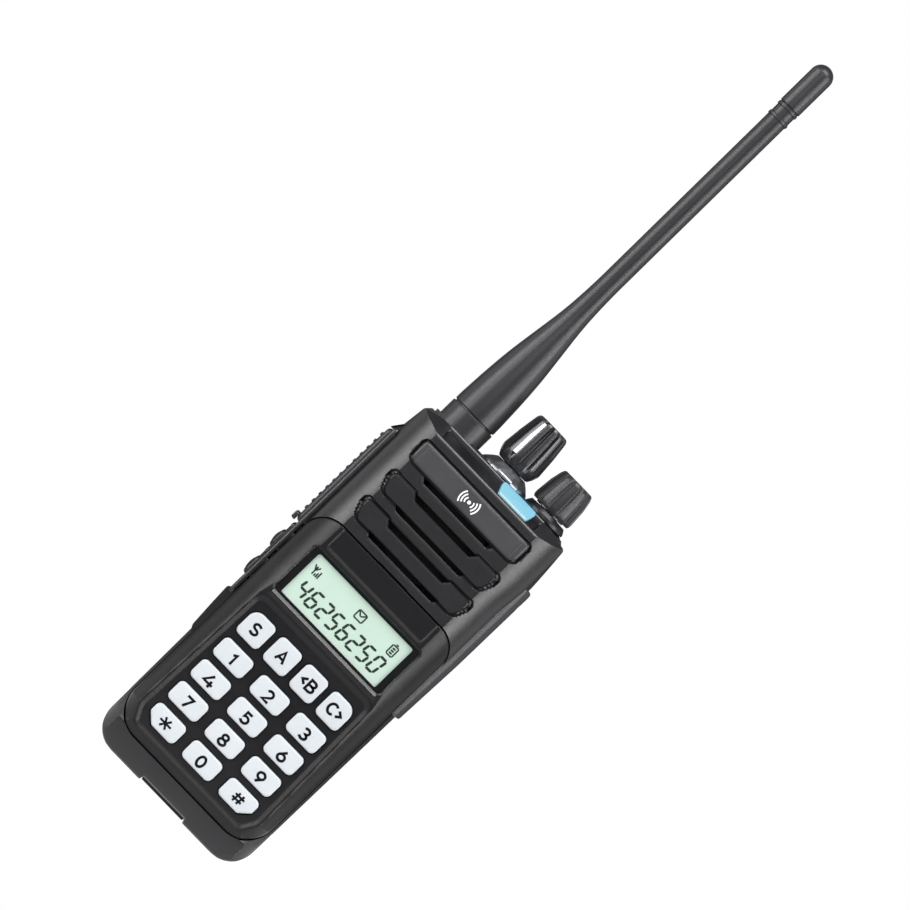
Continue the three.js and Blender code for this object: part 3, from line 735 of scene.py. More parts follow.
def case_grid():
    """The points of the case's front, row by row, before its sides are added."""
    rows = mix_rows((0, 9, 0.35), (9, 74, 1.6), (74, 86, 0.5), (86, BODY_TOP, 0.2))
    x = np.array([case_columns(float(body_half(z))) for z in rows])
    z = np.repeat(rows[:, None], x.shape[1], 1)
    press = case_relief(x, z)
    lean = smooth_step(z, CHAMFER_Z - 1.2, CHAMFER_Z + 0.2)
    y = case_front(x, z) + press * (1 - (1 - SLOPE_ALONG[2]) * lean)
    across = (x - BAND_HALF) / (TOP_HALF - BAND_HALF)
    x = x + RIGHT_WIDER * np.clip(across, 0, 1) * smooth_step(z, 96, 107)
    lift = NOTCH_DEPTH * (1 - smooth_step(np.abs(x), NOTCH_HALF - 0.3, NOTCH_HALF + 0.3))
    drop = SHOULDER_DROP * smooth_step(np.abs(x), 19.5, 25.5) * np.clip((z - 115) / 7.5, 0, 1)
    shown = z - press * SLOPE_ALONG[1] * lean + lift * np.clip(1 - z / NOTCH_REACH, 0, 1) - drop
    return x, y, shown


def make_front_case():
    """The case's shell with its relief, hollow behind, and its openings."""
    x, y, z = case_grid()
    steps = 6
    wall = 1 - (np.arange(steps) / steps) ** 1.4
    side = PARTING + (y[:, :1] - PARTING) * (1 - wall)[None, :]
    xs, zs = (np.concatenate([np.repeat(v[:, :1], steps, 1), v, np.repeat(v[:, -1:], steps, 1)], 1)
              for v in (x, z))
    ys = np.concatenate([side, y, side[:, ::-1]], 1)
    piece = relief_piece("front_case_shell", np.stack([xs, ys, zs], 2), PARTING, "case")
    panel_pocket = prism(panel_outline(0.33), -13.7, OUTSIDE)
    hollow = prism(mirrored(inner_half(CASE_WALL)), 1, -10.8)
    behind_louvres = block(-22.5, 22.5, -18.6, 1, 86, 117.5, 2)
    louvres = [prism(slot, -18, OUTSIDE) for slot in SLOTS]
    mic_slit = block(-5.3, 5.3, OUTSIDE, -18.7, 84.0, 84.7)
    latch_room = block(-7.8, 7.8, -1.8, 1, -1, 3.2)
    sides = [side_opening(name) for name in SIDE_BUTTONS]
    carve(piece, [panel_pocket, hollow, behind_louvres, *louvres, mic_slit, latch_room, *sides], 30)
    place(piece, "radio_body", "case", "front_case")


def inner_half(wall):
    """The right half of the cavity's outline."""
    heights = [wall, FOOT_RADIUS, WAIST_Z, SHOULDER_Z, BODY_TOP - wall]
    return [(float(body_half(z)) - wall, z) for z in heights]


# The side buttons' CAD boxes take in a hidden flange.
FLANGE_END = 0.6
FLANGE_BACK = 0.7


def side_opening(name):
    """A hole through the left wall round a button, a little larger than it."""
    low, high = box_mm(name)
    play = 0.35
    return block(OUTSIDE, -19.5, low[1] - play, high[1] - FLANGE_BACK + play,
                 low[2] + FLANGE_END - play, high[2] - FLANGE_END + play, 0.8)


def close_back(piece):
    """Merges a grid's doubled points and fills the opening at its back with one flat face."""
    work = bmesh.new()
    work.from_mesh(piece.data)
    bmesh.ops.remove_doubles(work, verts=work.verts, dist=0.004 * MM)
    bmesh.ops.dissolve_degenerate(work, edges=work.edges, dist=0.001 * MM)
    open_edges = [edge for edge in work.edges if edge.is_boundary]
    bmesh.ops.holes_fill(work, edges=open_edges, sides=0)
    bmesh.ops.recalc_face_normals(work, faces=work.faces)
    work.to_mesh(piece.data)
    work.free()
    shade_smooth(piece.data, 30)


# ------------------------------------------------------------------ keypad panel
PANEL_BACK = -14.1
CHIN_TOP = 9.5  # below it the panel slopes back
CHIN_SLOPE = 0.8
KEY_BED = fillet(mirrored([(19.0, 10.0), (21.6, 14.4), (20.4, 56.9)]), (2, 4, 2.5, 2.5, 4, 2))
UPPER_BED = fillet(mirrored([(17.4, 77.5), (17.4, 90.0)]), 0.8)
WINDOW_BED = fillet(mirrored([(19.6, 60.2), (19.6, 75.9)]), 1.2)


def panel_outline(grow=0.0):
    """The panel's outline, moved outwards by a little."""
    low, high = PANEL_LOW, PANEL_HIGH
    return round_rect(low[0] - grow, high[0] + grow, low[2] - grow, high[2] + grow,
                      (PANEL_FOOT_R + grow, PANEL_TOP_R + grow,
                       PANEL_TOP_R + grow, PANEL_FOOT_R + grow), 16)


def panel_half(z):
    """Half width of the panel at a height."""
    foot = round_drop(z - PANEL_LOW[2], PANEL_FOOT_R)
    return PANEL_HIGH[0] - foot - round_drop(PANEL_HIGH[2] - z, PANEL_TOP_R)


def panel_front(x, z):
    """Depth of the panel's face: flanks that begin further out towards the foot, and beds."""
    band = np.interp(z, [9.6, 14.6, 56.7, 66, 84], [20.2, 22.6, 21.2, 18.9, BAND_HALF])
    chin = FRONT + (CHIN_TOP - z) * CHIN_SLOPE
    depth = smooth_max(flank_depth(x, band), chin, 0.15)
    keys = pressed(x, z, KEY_BED, 0.75, -0.9, 1.1)
    window = pressed(x, z, WINDOW_BED, 0.6, -0.5, 0.0)
    under_window = 0.04 * np.clip(z - 56.9, 0, 2.4) ** 2 * smooth_step(20.3 - np.abs(x), 0, 1.0)
    under_window = np.where(z < WINDOW_LOW[2] + 1, under_window, 0)
    upper = np.clip(-polygon_distance(x, z, UPPER_BED) + 0.3, 0, 0.6) * LIP_SLOPE
    depth = depth + np.maximum.reduce([keys, upper, window, under_window])
    return depth + round_drop(-polygon_distance(x, z, panel_outline()), 0.45)


def panel_grid():
    """The points of the panel's face and its side walls, row by row."""
    low, high = PANEL_LOW[2], PANEL_HIGH[2]
    rows = mix_rows((low, low + 1, 0.1), (low + 1, high - 1, 0.3), (high - 1, high, 0.1))
    edge = np.sin(np.linspace(0, math.pi / 2, 20))[1:]
    across = np.concatenate([np.linspace(0, 0.9, 86), 0.9 + 0.1 * edge])
    across = np.concatenate([-across[:0:-1], across])
    x = panel_half(rows)[:, None] * across[None, :]
    z = np.repeat(rows[:, None], x.shape[1], 1)
    y = np.minimum(panel_front(x, z), PANEL_BACK - 0.25)
    face = np.stack([x, y, z], 2)
    back = face[:, [0, -1]].copy()
    back[..., 1] = PANEL_BACK
    return np.concatenate([back[:, :1], face, back[:, 1:]], 1)


def make_panel(keys):
    """The keypad panel, with holes for its keys and the display."""
    piece = relief_piece("keypad_panel_face", panel_grid(), PANEL_BACK, "panel")
    holes = [prism(key_outline(key, 0.3), -14, OUTSIDE) for key in keys]
    window = prism(window_outline(0.12), -20.15, OUTSIDE)
    opening = prism(fillet(mirrored([(17.9, 60.9), (17.9, 75.1)]), 0.6), -14, OUTSIDE)
    behind_keys = block(-20.4, 20.4, -19.6, -14, 11, 56.5, 1)
    behind_display = block(-20.4, 20.4, -19.0, -14, 57.6, 78.4, 1)
    carve(piece, [*holes, window, opening, behind_keys, behind_display], 30)
    carve(piece, [block(-5.3, 5.3, OUTSIDE, -18.7, 84.0, 86)], 30)
    place(piece, "radio_body", "case", "keypad_panel")


def make_sill():
    """The bright bevelled edge under the display."""
    tall = 0.83
    section = [(-21.05, 59.2), (-21.6, 59.3), (-21.6 + tall * LIP_SLOPE, 59.3 + tall),
               (-21.0, 59.3 + tall)]
    rings = [np.array([[x, y, z] for y, z in section]) for x in (-19.2, 19.2)]
    place(lofted("display_sill", rings, "case", 20))


def window_outline(grow=0.0):
    """The window's outline, moved outwards by a little."""
    half = WINDOW_HIGH[0] + 0.3 + grow
    return fillet(mirrored([(half, WINDOW_LOW[2] - grow), (half, WINDOW_HIGH[2] + grow)]),
                  0.9 + grow)


# ------------------------------------------------------------------ keys and legends
def key_outline(name, grow=0.0):
    """A key's front outline: the block's top corners are rounder and its foot corners cut."""
    low, high = box_mm("key_" + name)
    flange = 0.4
    x0, x1 = low[0] + flange - grow, high[0] - flange + grow
    z0, z1 = low[2] + flange - grow, high[2] - flange + grow
    corners = [(x0, z0), (x1, z0), (x1, z1), (x0, z1)]
    cut, wide = 2.7, 2.9
    radii = [1.5] * 4
    if name == "star":
        corners[0:1] = [(x0, z0 + cut), (x0 + wide, z0)]
        radii[0:1] = [0.9, 0.9]
    if name == "hash":
        corners[1:2] = [(x1 - wide, z0), (x1, z0 + cut)]
        radii[1:2] = [0.9, 0.9]
    if name == "s":
        radii[3] = wide
    if name == "c":
        radii[2] = wide
    return fillet(corners, np.array(radii) + grow)


def make_key(name):
    """A keycap and its legend, which the key's body carries."""
    body = "key_" + name
    low, high = box_mm(body)
    piece = soft_slab(body + "_cap", key_outline(name), high[1], low[1] + 0.02, 0.5,
                      "key_plastic", crown=0.12)
    place(piece, body, "key_plastic", body)
    middle = (low + high)[[0, 2]] / 2
    middle[1] -= 0.35 if name.isdigit() else 0.05
    letter = legend(body + "_ink", LEGENDS.get(name, name), 2.95, middle, low[1] - 0.08)
    place(letter, body, "dark_trim")


def bow(cx, cz, rx, rz, start, stop, steps=14):
    """Points along an elliptic arc, in letter units."""
    angles = np.radians(np.linspace(start, stop, steps + 1))
    return [(cx + rx * math.cos(a), cz + rz * math.sin(a)) for a in angles]


def star_arms(reach=0.54):
    """Three lines through a middle point."""
    return [[(0.5 + side * math.cos(a), 0.5 + side * math.sin(a)) for side in (-reach, reach)]
            for a in np.radians((0, 60, 120))]


# The middle line of each stroke of the legends; letters are one unit tall.
GLYPHS = {
    "0": [bow(0.31, 0.5, 0.29, 0.5, 90, 450, 28)],
    "1": [[(0.10, 0.80), (0.36, 1.0), (0.36, 0.0)]],
    "2": [bow(0.31, 0.70, 0.28, 0.30, 160, -35) + [(0.03, 0.0), (0.61, 0.0)]],
    "3": [bow(0.29, 0.75, 0.26, 0.25, 150, -90) + bow(0.29, 0.25, 0.30, 0.25, 90, -150)],
    "4": [[(0.54, -0.08), (0.54, 0.58)], [(0.46, 1.08), (-0.06, 0.25), (0.78, 0.25)]],
    "5": [[(0.55, 1.0), (0.10, 1.0), (0.07, 0.55)] + bow(0.28, 0.32, 0.31, 0.32, 125, -150)],
    "6": [[(0.46, 1.0), (0.06, 0.45)], bow(0.32, 0.31, 0.30, 0.31, 0, 360, 24)],
    "7": [[(0.02, 1.0), (0.60, 1.0), (0.20, 0.0)]],
    "8": [bow(0.31, 0.765, 0.24, 0.235, -90, 270, 22), bow(0.31, 0.265, 0.30, 0.265, 90, 450, 24)],
    "9": [[(0.16, 0.0), (0.56, 0.55)], bow(0.30, 0.69, 0.30, 0.31, 0, 360, 24)],
    "S": [bow(0.32, 0.75, 0.28, 0.25, 30, 270) + bow(0.32, 0.25, 0.30, 0.25, 90, -150)],
    "A": [[(0.0, 0.0), (0.36, 1.0), (0.72, 0.0)], [(0.13, 0.32), (0.59, 0.32)]],
    "B": [[(0.34, 0.53), (0.0, 0.53), (0.0, 1.0), (0.32, 1.0)]
          + bow(0.32, 0.765, 0.23, 0.235, 90, -90)
          + bow(0.34, 0.265, 0.27, 0.265, 90, -90) + [(0.0, 0.0), (0.0, 0.53)]],
    "C": [bow(0.37, 0.5, 0.36, 0.5, 48, 312, 22)],
    "<": [[(0.34, 0.82), (0.0, 0.5), (0.34, 0.18)]],
    ">": [[(0.0, 0.82), (0.34, 0.5), (0.0, 0.18)]],
    "*": star_arms(),
    "#": [[(0.22, 0.02), (0.34, 0.98)], [(0.60, 0.02), (0.72, 0.98)],
          [(0.0, 0.32), (0.88, 0.32)], [(0.06, 0.68), (0.94, 0.68)]],
}


def stroke_rings(line, half_wide, y, deep):
    """Sections of a flat stroke that follows a line, with bevelled edges and mitred turns."""
    line = np.array(line)
    apart = np.linalg.norm(np.diff(line, axis=0), axis=1) > 1e-3
    line = line[np.append(True, apart)]
    along = np.diff(line, axis=0)
    along /= np.linalg.norm(along, axis=1)[:, None]
    before, after = np.vstack([along[:1], along]), np.vstack([along, along[-1:]])
    across = before + after
    across /= np.linalg.norm(across, axis=1)[:, None]
    stretch = 1 / np.clip(np.sum(across * after, axis=1), 0.55, 1)
    across = np.stack([-across[:, 1], across[:, 0]], 1) * stretch[:, None] * half_wide
    rings = []
    for middle, reach in zip(line, across):
        rings.append(np.array([[middle[0] + side * reach[0], y + d, middle[1] + side * reach[1]]
                               for side, d in ((-1, 0), (-0.85, -deep), (0.85, -deep), (1, 0))]))
    return rings


def legend(name, text, tall, centre, y):
    """The strokes of a legend, centred on the face of its key. Each stroke lies a little
    higher than the one before, so that no two faces share a plane."""
    bold = 0.21 if text in ("*", "#") else 0.25
    wide = 1.2
    gap = 0.30
    pen = 0.0
    strokes = []
    for letter in text:
        lines = GLYPHS[letter]
        strokes += [[(wide * px + pen, pz) for px, pz in line] for line in lines]
        pen += wide * max(px for line in lines for px, _ in line) + gap
    spots = np.array([spot for line in strokes for spot in line])
    middle = (spots.max(0) + spots.min(0)) / 2
    parts = [loft(stroke_rings(centre + (np.array(line) - middle) * tall, bold * tall / 2, y,
                               0.05 + 0.003 * i))
             for i, line in enumerate(strokes)]
    return facing_out(mesh_object(name, *joined(parts), "legend"))


def make_call_slit():
    """The black slit between the case and the panel, in front of the microphone."""
    insert = soft_slab("mic_slit", round_rect(-5.6, 5.6, 83.3, 85.3, 0.25), -18.5, -19.2,
                       0.1, "border")
    place(insert, slot="dark_trim")


make_front_case()
make_panel(KEY_NAMES)
make_sill()
make_call_slit()
for key_name in KEY_NAMES:
    make_key(key_name)


# ------------------------------------------------------------------ name plate
def make_name_plate():
    """The plate above the louvres, with an inlay and a generic sign."""
    outline = fillet(mirrored([(19.05, 108.95), (19.05, 115.5)]), (2.0, 1.1, 1.1, 2.0))
    plate = soft_slab("name_plate_face", outline, -20.1, -21.45, 0.5, "plate")
    place(plate, "radio_body", "case", "name_plate")
    inner = fillet(mirrored([(17.5, 109.35), (17.5, 114.9)]), 0.3)
    place(soft_slab("name_plate_inlay", inner, -21.3, -21.62, 0.14, "plate"))
    make_wave_mark((0, 112.1), -21.62)


def make_wave_mark(centre, y):
    """A generic sign for radio waves: a dot with two arcs on each side."""
    centre = np.array(centre)
    shapes = [centre + arc_points(0, 0, 0.5, 0, 340, 17)]
    for side in (0, 180):
        for radius in (1.3, 2.15, 3.0):
            outer = arc_points(0, 0, radius + 0.19, side - 38, side + 38, 12)
            inner = arc_points(0, 0, radius - 0.19, side + 38, side - 38, 12)
            shapes.append(centre + np.concatenate([outer, inner]))
    place(make_ink("name_plate_mark", shapes, y, "white_ink"), slot="dark_trim")


# ------------------------------------------------------------------ deck, strip and light
def on_slope(points):
    """Lays front-facing points on the sloped top edge: their z counts in front-view height."""
    foot = np.array([0, FRONT, CHAMFER_Z])
    run = (points[:, 2] - CHAMFER_Z) / SLOPE_ALONG[2]
    return (foot + run[:, None] * SLOPE_ALONG + (-points[:, 1])[:, None] * SLOPE_OUT
            + points[:, :1] * np.array([1, 0, 0]))


def make_strip_and_light():
    """The black strip along the sloped edge, and the light over it."""
    strip = fillet(mirrored([(16.7, 119.3), (16.95, 121.6)]), 0.3)
    bar = soft_slab("light_strip", strip, 0.72, 0.45, 0.06, "dark_trim", to_world=on_slope)
    place(bar, slot="dark_trim")
    lens = fillet([(3.5, 119.2), (13.8, 119.2), (14.8, 122.6), (2.2, 122.6)], (1, 1, 0.8, 0.8))
    light = soft_slab("light_lens", lens, 0.6, -0.45, 0.35, "light", crown=0.1, to_world=on_slope)
    place(light, "radio_body", "light", "light_guide")


def make_top_lip():
    """The bright bevelled edge above the strip, whose ends run down a little."""
    front = -15.55
    tall = 0.62
    section = [(-10, 121.4), (front + 0.05, 121.4), (front, 122.0),
               (front + tall * LIP_SLOPE, 122.0 + tall), (-15.0, 122.7), (-10, 122.7)]
    rings = [np.array([[x, y, z - drop] for y, z in section])
             for x, drop in ((-17.9, 0.5), (-17.4, 0.0), (17.4, 0.0), (17.9, 0.5))]
    place(lofted("top_lip", rings, "case", 20))


def make_deck():
    """The deck that the knobs stand on, and the antenna's round foot."""
    left = -23.4
    rings = []
    for z, right in ((121.0, 24.9), (122.0, 24.5), (123.0, 22.8), (123.3, 22.2)):
        plan = fillet([(left, -9.0), (left + 3.9, -12.8), (right - 5.5, -12.8), (right, -8.5),
                       (right, 0), (left, 0)], 0.6)
        rings.append(np.stack([plan[:, 0], plan[:, 1], np.full(len(plan), z)], 1))
    place(lofted("top_deck", rings, "case"))
    profile = [(7.1, 121), (7.1, 128.15), (6.95, 128.35), (6.5, 128.4), (6.5, 128.8)]
    place(turned("antenna_boss", profile, ANTENNA_X, KNOB_Y, "rubber"))


def make_foot():
    """The dark foot behind the thumb notch."""
    insert = soft_slab("notch_foot", round_rect(-7.6, 7.6, 0.15, 3.0, 0.3), -4.0, -14.0,
                       0.2, "dark_trim")
    place(insert, slot="dark_trim")


make_strip_and_light()
make_top_lip()
make_deck()
make_foot()


# ------------------------------------------------------------------ display
SEGMENTS = {"0": "abcdef", "1": "bc", "2": "abged", "3": "abgcd", "4": "fgbc", "5": "afgcd",
            "6": "afgedc", "7": "abc", "8": "abcdefg", "9": "abcdfg"}
GLASS_Y = -20.05


def ink_bar(start, end, thick, slant=0.17, base=0.0):
    """Corner points of a pointed segment between two places, leant over."""
    start, end = np.array(start, float), np.array(end, float)
    along = (end - start) / np.linalg.norm(end - start)
    across = np.array([-along[1], along[0]]) * thick / 2
    tip = along * thick / 2
    corners = [start, start + tip - across, end - tip - across, end, end - tip + across,
               start + tip + across]
    return [(x + (z - base) * slant, z) for x, z in corners]


def digit_bars(digit, x, z, wide=2.4, tall=4.75, thick=0.72):
    """The bars of one seven-segment digit."""
    gap = 0.06
    low, middle, high = z, z + tall / 2, z + tall
    ends = {"a": ((x, high), (x + wide, high)), "b": ((x + wide, high), (x + wide, middle)),
            "c": ((x + wide, middle), (x + wide, low)), "d": ((x + wide, low), (x, low)),
            "e": ((x, low), (x, middle)), "f": ((x, middle), (x, high)),
            "g": ((x, middle), (x + wide, middle))}
    bars = []
    for segment in SEGMENTS[digit]:
        start, end = (np.array(p) for p in ends[segment])
        along = (end - start) / np.linalg.norm(end - start) * gap
        bars.append(ink_bar(start + along, end - along, thick, base=z))
    return bars


def box_sides(x0, x1, z0, z1):
    """The four sides of a box."""
    corners = [(x0, z0), (x1, z0), (x1, z1), (x0, z1)]
    return list(zip(corners, corners[1:] + corners[:1]))


def icon_bars():
    """Generic signal, envelope and battery signs as strokes."""
    fork = (-15.2, 71.0)
    lines = [((-15.2, 69.6), (-15.2, 72.4)), ((-16.1, 72.5), fork), ((-14.3, 72.5), fork)]
    for i, tall in enumerate((0.9, 1.5, 2.2)):
        lines.append(((-14.5 + 0.55 * i, 69.6), (-14.5 + 0.55 * i, 69.7 + tall)))
    flap = (1.7, 71.0)
    lines += box_sides(0.3, 3.1, 69.9, 72.4) + [((0.3, 72.4), flap), ((3.1, 72.4), flap)]
    lines += box_sides(12.9, 14.9, 69.4, 72.3) + [((13.4, 72.8), (14.4, 72.8))]
    charge = [((13.3, z), (14.5, z)) for z in (70.1, 70.8, 71.5)]
    return ([ink_bar(start, end, 0.42, 0) for start, end in lines]
            + [ink_bar(start, end, 0.5, 0) for start, end in charge])


def make_ink(name, shapes, y, material):
    """One mesh of thin flat prisms."""
    half = 0.02
    parts = [loft([at_depth(shape, y + half), at_depth(shape, y - half)]) for shape in shapes]
    return facing_out(mesh_object(name, *joined(parts), material))


def make_display():
    """The display's glass, its ink, the black border round it and the window over it."""
    glass = soft_slab("display_glass", fillet(mirrored([(17.75, 60.6), (17.75, 75.2)]), 0.3),
                      GLASS_Y + 0.5, GLASS_Y, 0.05, "display")
    place(glass, "radio_body", "display")
    left, pitch, low = -15.2, 3.86, 63.0
    shapes = icon_bars()
    for i, digit in enumerate("46256250"):
        shapes += digit_bars(digit, left + pitch * i, low)
    point_x = left + pitch * 3 - 0.72
    shapes.append(ink_bar((point_x, low - 0.15), (point_x, low + 0.35), 0.6))
    place(make_ink("display_ink", shapes, GLASS_Y - 0.02, "segment"), slot="dark_trim")
    inner = fillet(mirrored([(17.5, 60.75), (17.5, 75.0)]), 0.7)
    border = flat_ring("window_border", window_outline(), inner, -20.2, -20.6, "border")
    place(border, slot="dark_trim")
    # The lens reaches into the panel, so that its rim doesn't show.
    lens = soft_slab("window_lens", window_outline(0.3), -20.64, -20.7, 0.02, "window")
    place(lens, "radio_body", "window", "display_window")


make_display()
make_name_plate()


# ------------------------------------------------------------------ knobs and antenna
FRONT_ANGLE = -math.pi / 2


def ribbed(name, x, y, sections, ribs, depth, material, phase):
    """A knob from (radius, z, rib depth share) sections with rounded ribs round it."""
    sides = ribs * 16
    angles = np.linspace(0, 2 * math.pi, sides, endpoint=False)
    wave = (np.cos((angles - phase) * ribs) + 1) / 2
    hollow = depth * (1 - smooth_step(wave, 0.08, 0.53))
    rings = [round_ring(x, y, radius - hollow * cut, angles, z) for radius, z, cut in sections]
    return lofted(name, rings, material, 30)


def make_channel_knob():
    """The tall ribbed knob, its stem and its white pointer."""
    sections = [(4.6, 126.35, 0), (5.2, 126.6, 0), (5.9, 127.8, 0.2), (6.4, 129.2, 0.8),
                (6.5, 130.0, 1), (6.0, 135.5, 1), (5.35, 140.3, 1), (5.2, 141.0, 0.8),
                (4.8, 141.6, 0.2), (4.3, 141.8, 0), (3.6, 141.8, 0), (3.3, 141.5, 0),
                (0.6, 141.4, 0)]
    knob = ribbed("channel_grip", CHANNEL_X, KNOB_Y, sections, 14, 1.0, "knob",
                  FRONT_ANGLE + math.radians(13))
    place(knob, "channel_knob", "knob", "channel_knob")
    stem = turned("channel_stem", [(2.9, 113), (2.9, 127.2)], CHANNEL_X, KNOB_Y, "knob", 32)
    place(stem, "channel_knob", "steel")
    line = fillet([(-0.75, 129.8), (0.75, 129.8), (0.5, 140.8), (-0.5, 140.8)], 0.3, 4)
    mark = soft_slab("channel_pointer", densify(line, 0.6), 0.3, -0.06, 0.05, "white_ink",
                     to_world=on_knob)
    place(mark, "channel_knob", "dark_trim")


def on_knob(points):
    """Lays front-facing points on the channel knob's side, a little left of its front."""
    radius = np.interp(points[:, 2], [129.6, 135.5, 139.9, 140.6], [6.35, 5.95, 5.3, 5.15])
    radius = radius - points[:, 1]
    turn = FRONT_ANGLE + math.radians(-27) + points[:, 0] / 6.0
    return np.stack([CHANNEL_X + radius * np.cos(turn), KNOB_Y + radius * np.sin(turn),
                     points[:, 2]], 1)


def make_volume_knob():
    """The short ribbed knob and its stem."""
    sections = [(3.2, 125.5, 0), (6.1, 125.6, 0), (6.45, 126.3, 0.3), (6.5, 127.2, 1),
                (6.1, 132.0, 1), (5.5, 134.9, 1), (5.15, 135.8, 0.5), (4.7, 136.2, 0),
                (0.6, 136.2, 0)]
    knob = ribbed("volume_grip", VOLUME_X, KNOB_Y, sections, 12, 0.55, "rubber", FRONT_ANGLE)
    place(knob, "volume_knob", "knob", "volume_knob")
    stem = turned("volume_stem", [(2.9, 113), (2.9, 125.1), (4.6, 125.2), (4.6, 126.0)],
                  VOLUME_X, KNOB_Y, "knob", 32)
    place(stem, "volume_knob", "steel")


def make_collars():
    """The cones that the knobs turn in: bright and faceted, and small and dark."""
    profile = [(8.05, 122.9), (8.05, 123.4), (7.8, 123.8), (6.2, 125.3), (5.0, 126.2),
               (3.0, 126.3)]
    ring = turned("channel_collar_cone", profile, CHANNEL_X, KNOB_Y, "collar", 20, 12)
    place(ring, "radio_body", "collar", "channel_collar")
    profile = [(6.8, 122.9), (6.8, 123.5), (6.4, 124.2), (5.9, 124.9), (3.4, 125.05)]
    ring = turned("volume_collar_cone", profile, VOLUME_X, KNOB_Y, "dark_trim", 48)
    place(ring, "radio_body", "collar", "volume_collar")


def densify(outline, step):
    """Adds points along an outline's long edges."""
    points = []
    for start, end in zip(outline, np.roll(outline, -1, 0)):
        parts = max(1, int(np.linalg.norm(end - start) / step))
        points += [start + (end - start) * i / parts for i in range(parts)]
    return np.array(points)


WHIP_R = 3.0
WHIP_FOOT = 128.5
WHIP_LEAN = 0.006  # the soft whip stands a little off straight


def make_antenna():
    """The whip: a smooth taper above its foot, two rings near its tip, and a round cap."""
    heights = [130.3, 138, 143.3, 148.5, 153.7, 158.9, 164.1, 169.3, 174.5, 179]
    radii = [7.0, 6.65, 6.3, 5.82, 5.13, 4.43, 3.74, 3.31, 3.09, WHIP_R]
    fine = np.linspace(heights[0], heights[-1], 60)
    taper = np.interp(fine, heights, radii)
    taper = np.convolve(np.pad(taper, 3, "edge"), np.ones(7) / 7, "valid")
    profile = [(6.0, 128.7), (6.75, 128.72), (6.98, 129.0), *zip(taper, fine)]
    proud = WHIP_R + 0.26
    for middle in (240.5, 244.0):
        profile += [(WHIP_R, middle - 0.6), (proud, middle - 0.35), (proud, middle + 0.35),
                    (WHIP_R, middle + 0.6)]
    cap = WHIP_R + 0.3
    profile += [(WHIP_R, 244.7), (cap, 244.9)]
    tip = float(box_mm("antenna")[1][2]) - cap
    profile += [(cap * math.cos(a), tip + cap * math.sin(a))
                for a in np.linspace(0, math.pi / 2 - 0.08, 12)]
    whip = turned("antenna_whip", profile, ANTENNA_X, KNOB_Y, "rubber", 72)
    for vertex in whip.data.vertices:
        vertex.co.x -= max(vertex.co.z - WHIP_FOOT * MM, 0) * WHIP_LEAN
    place(whip, "radio_body", "rubber", "antenna")


make_channel_knob()
make_volume_knob()
make_collars()
make_antenna()


# ------------------------------------------------------------------ side controls
def on_left(points):
    """Lays front-facing points on the left side: their x is the depth, their front is outwards."""
    return points[:, [1, 0, 2]]


def side_outline(node, radius):
    """A side button's outline, in depth and height."""
    low, high = box_mm(node)
    return round_rect(low[1], high[1] - FLANGE_BACK, low[2] + FLANGE_END,
                      high[2] - FLANGE_END, radius)


def make_talk_button():
    """The ribbed talk button."""
    low, high = box_mm("talk_button")
    button = soft_slab("talk_button_pad", side_outline("talk_button", 1.6), high[0],
                       low[0] + 0.5, 1.1, "rubber", crown=0.3, to_world=on_left)
    place(button, "talk_button", "rubber", "talk_button")
    for i in range(12):
        z = low[2] + 4.2 + i * 2.5
        bar = round_rect(low[1] + 1.6, high[1] - 2.4, z, z + 1.1, 0.5, 4)
        rib = soft_slab(f"talk_button_rib_{i}", bar, low[0] + 0.8, low[0], 0.3, "rubber",
                        to_world=on_left)
        place(rib, "talk_button", "rubber")


def make_side_keys():
    """The two small domed keys under the talk button, each with a raised crest."""
    for node in SIDE_KEYS:
        low, high = box_mm(node)
        outline = side_outline(node, 1.8)
        dome = soft_slab(node + "_dome", outline, high[0], low[0] + 1.1, 0.8, "dark_trim",
                         to_world=on_left)
        place(dome, node, "rubber", node)
        (back, foot), (front, top) = outline.min(0), outline.max(0)
        inner = round_rect(back + 0.5, front - 0.5, foot + 0.3, top - 1.5, 1.6)
        crest = soft_slab(node + "_crest", inner, low[0] + 1.3, low[0] + 0.2, 1.0, "dark_trim",
                          crown=0.4, steps=6, to_world=on_left)
        place(crest, node, "rubber")


def make_bezel():
    """The raised frame round the side's buttons, and the foot that it runs out in."""
    bezel = soft_slab("side_bezel", round_rect(-14.9, -2.4, 50.2, 112.6, 2.2), -26.3, -27.5,
                      0.8, "case", to_world=on_left)
    carve(bezel, [side_opening(node) for node in SIDE_BUTTONS])
    place(bezel)
    foot = fillet([(-27.45, 51.2), (-25.0, 51.2), (-25.0, 36.0), (-26.6, 38.0), (-27.1, 45.0)],
                  (0.1, 0.2, 0.2, 2, 4))
    place(soft_slab("side_bezel_foot", foot, -3.0, -14.2, 0.8, "case"))


def make_talk_lip():
    """The lip that stands out at the talk button's foot."""
    lip = soft_slab("talk_button_lip", round_rect(-13.2, -4.6, 76.0, 78.4, 0.7), -28.7, -29.9,
                    0.5, "rubber", to_world=on_left)
    place(lip, "talk_button", "rubber")


def make_key_frame():
    """A second step of the frame, round the two small keys."""
    rim = soft_slab("side_key_frame", round_rect(-14.4, -3.0, 57.0, 75.6, 1.2), -27.0, -28.2,
                    0.6, "case", to_world=on_left)
    carve(rim, [side_opening(node) for node in SIDE_KEYS])
    place(rim)


def make_side_shoulder():
    """The slope from the top of the talk button up to the case's corner."""
    outline = fillet([(-28.7, 111.1), (-23.0, 111.1), (-23.0, 119.5), (-25.0, 117.4),
                      (-26.5, 114.2)], (0.2, 0.2, 0.2, 3, 2))
    place(soft_slab("side_shoulder", outline, -2.6, -13.6, 0.5, "case"))


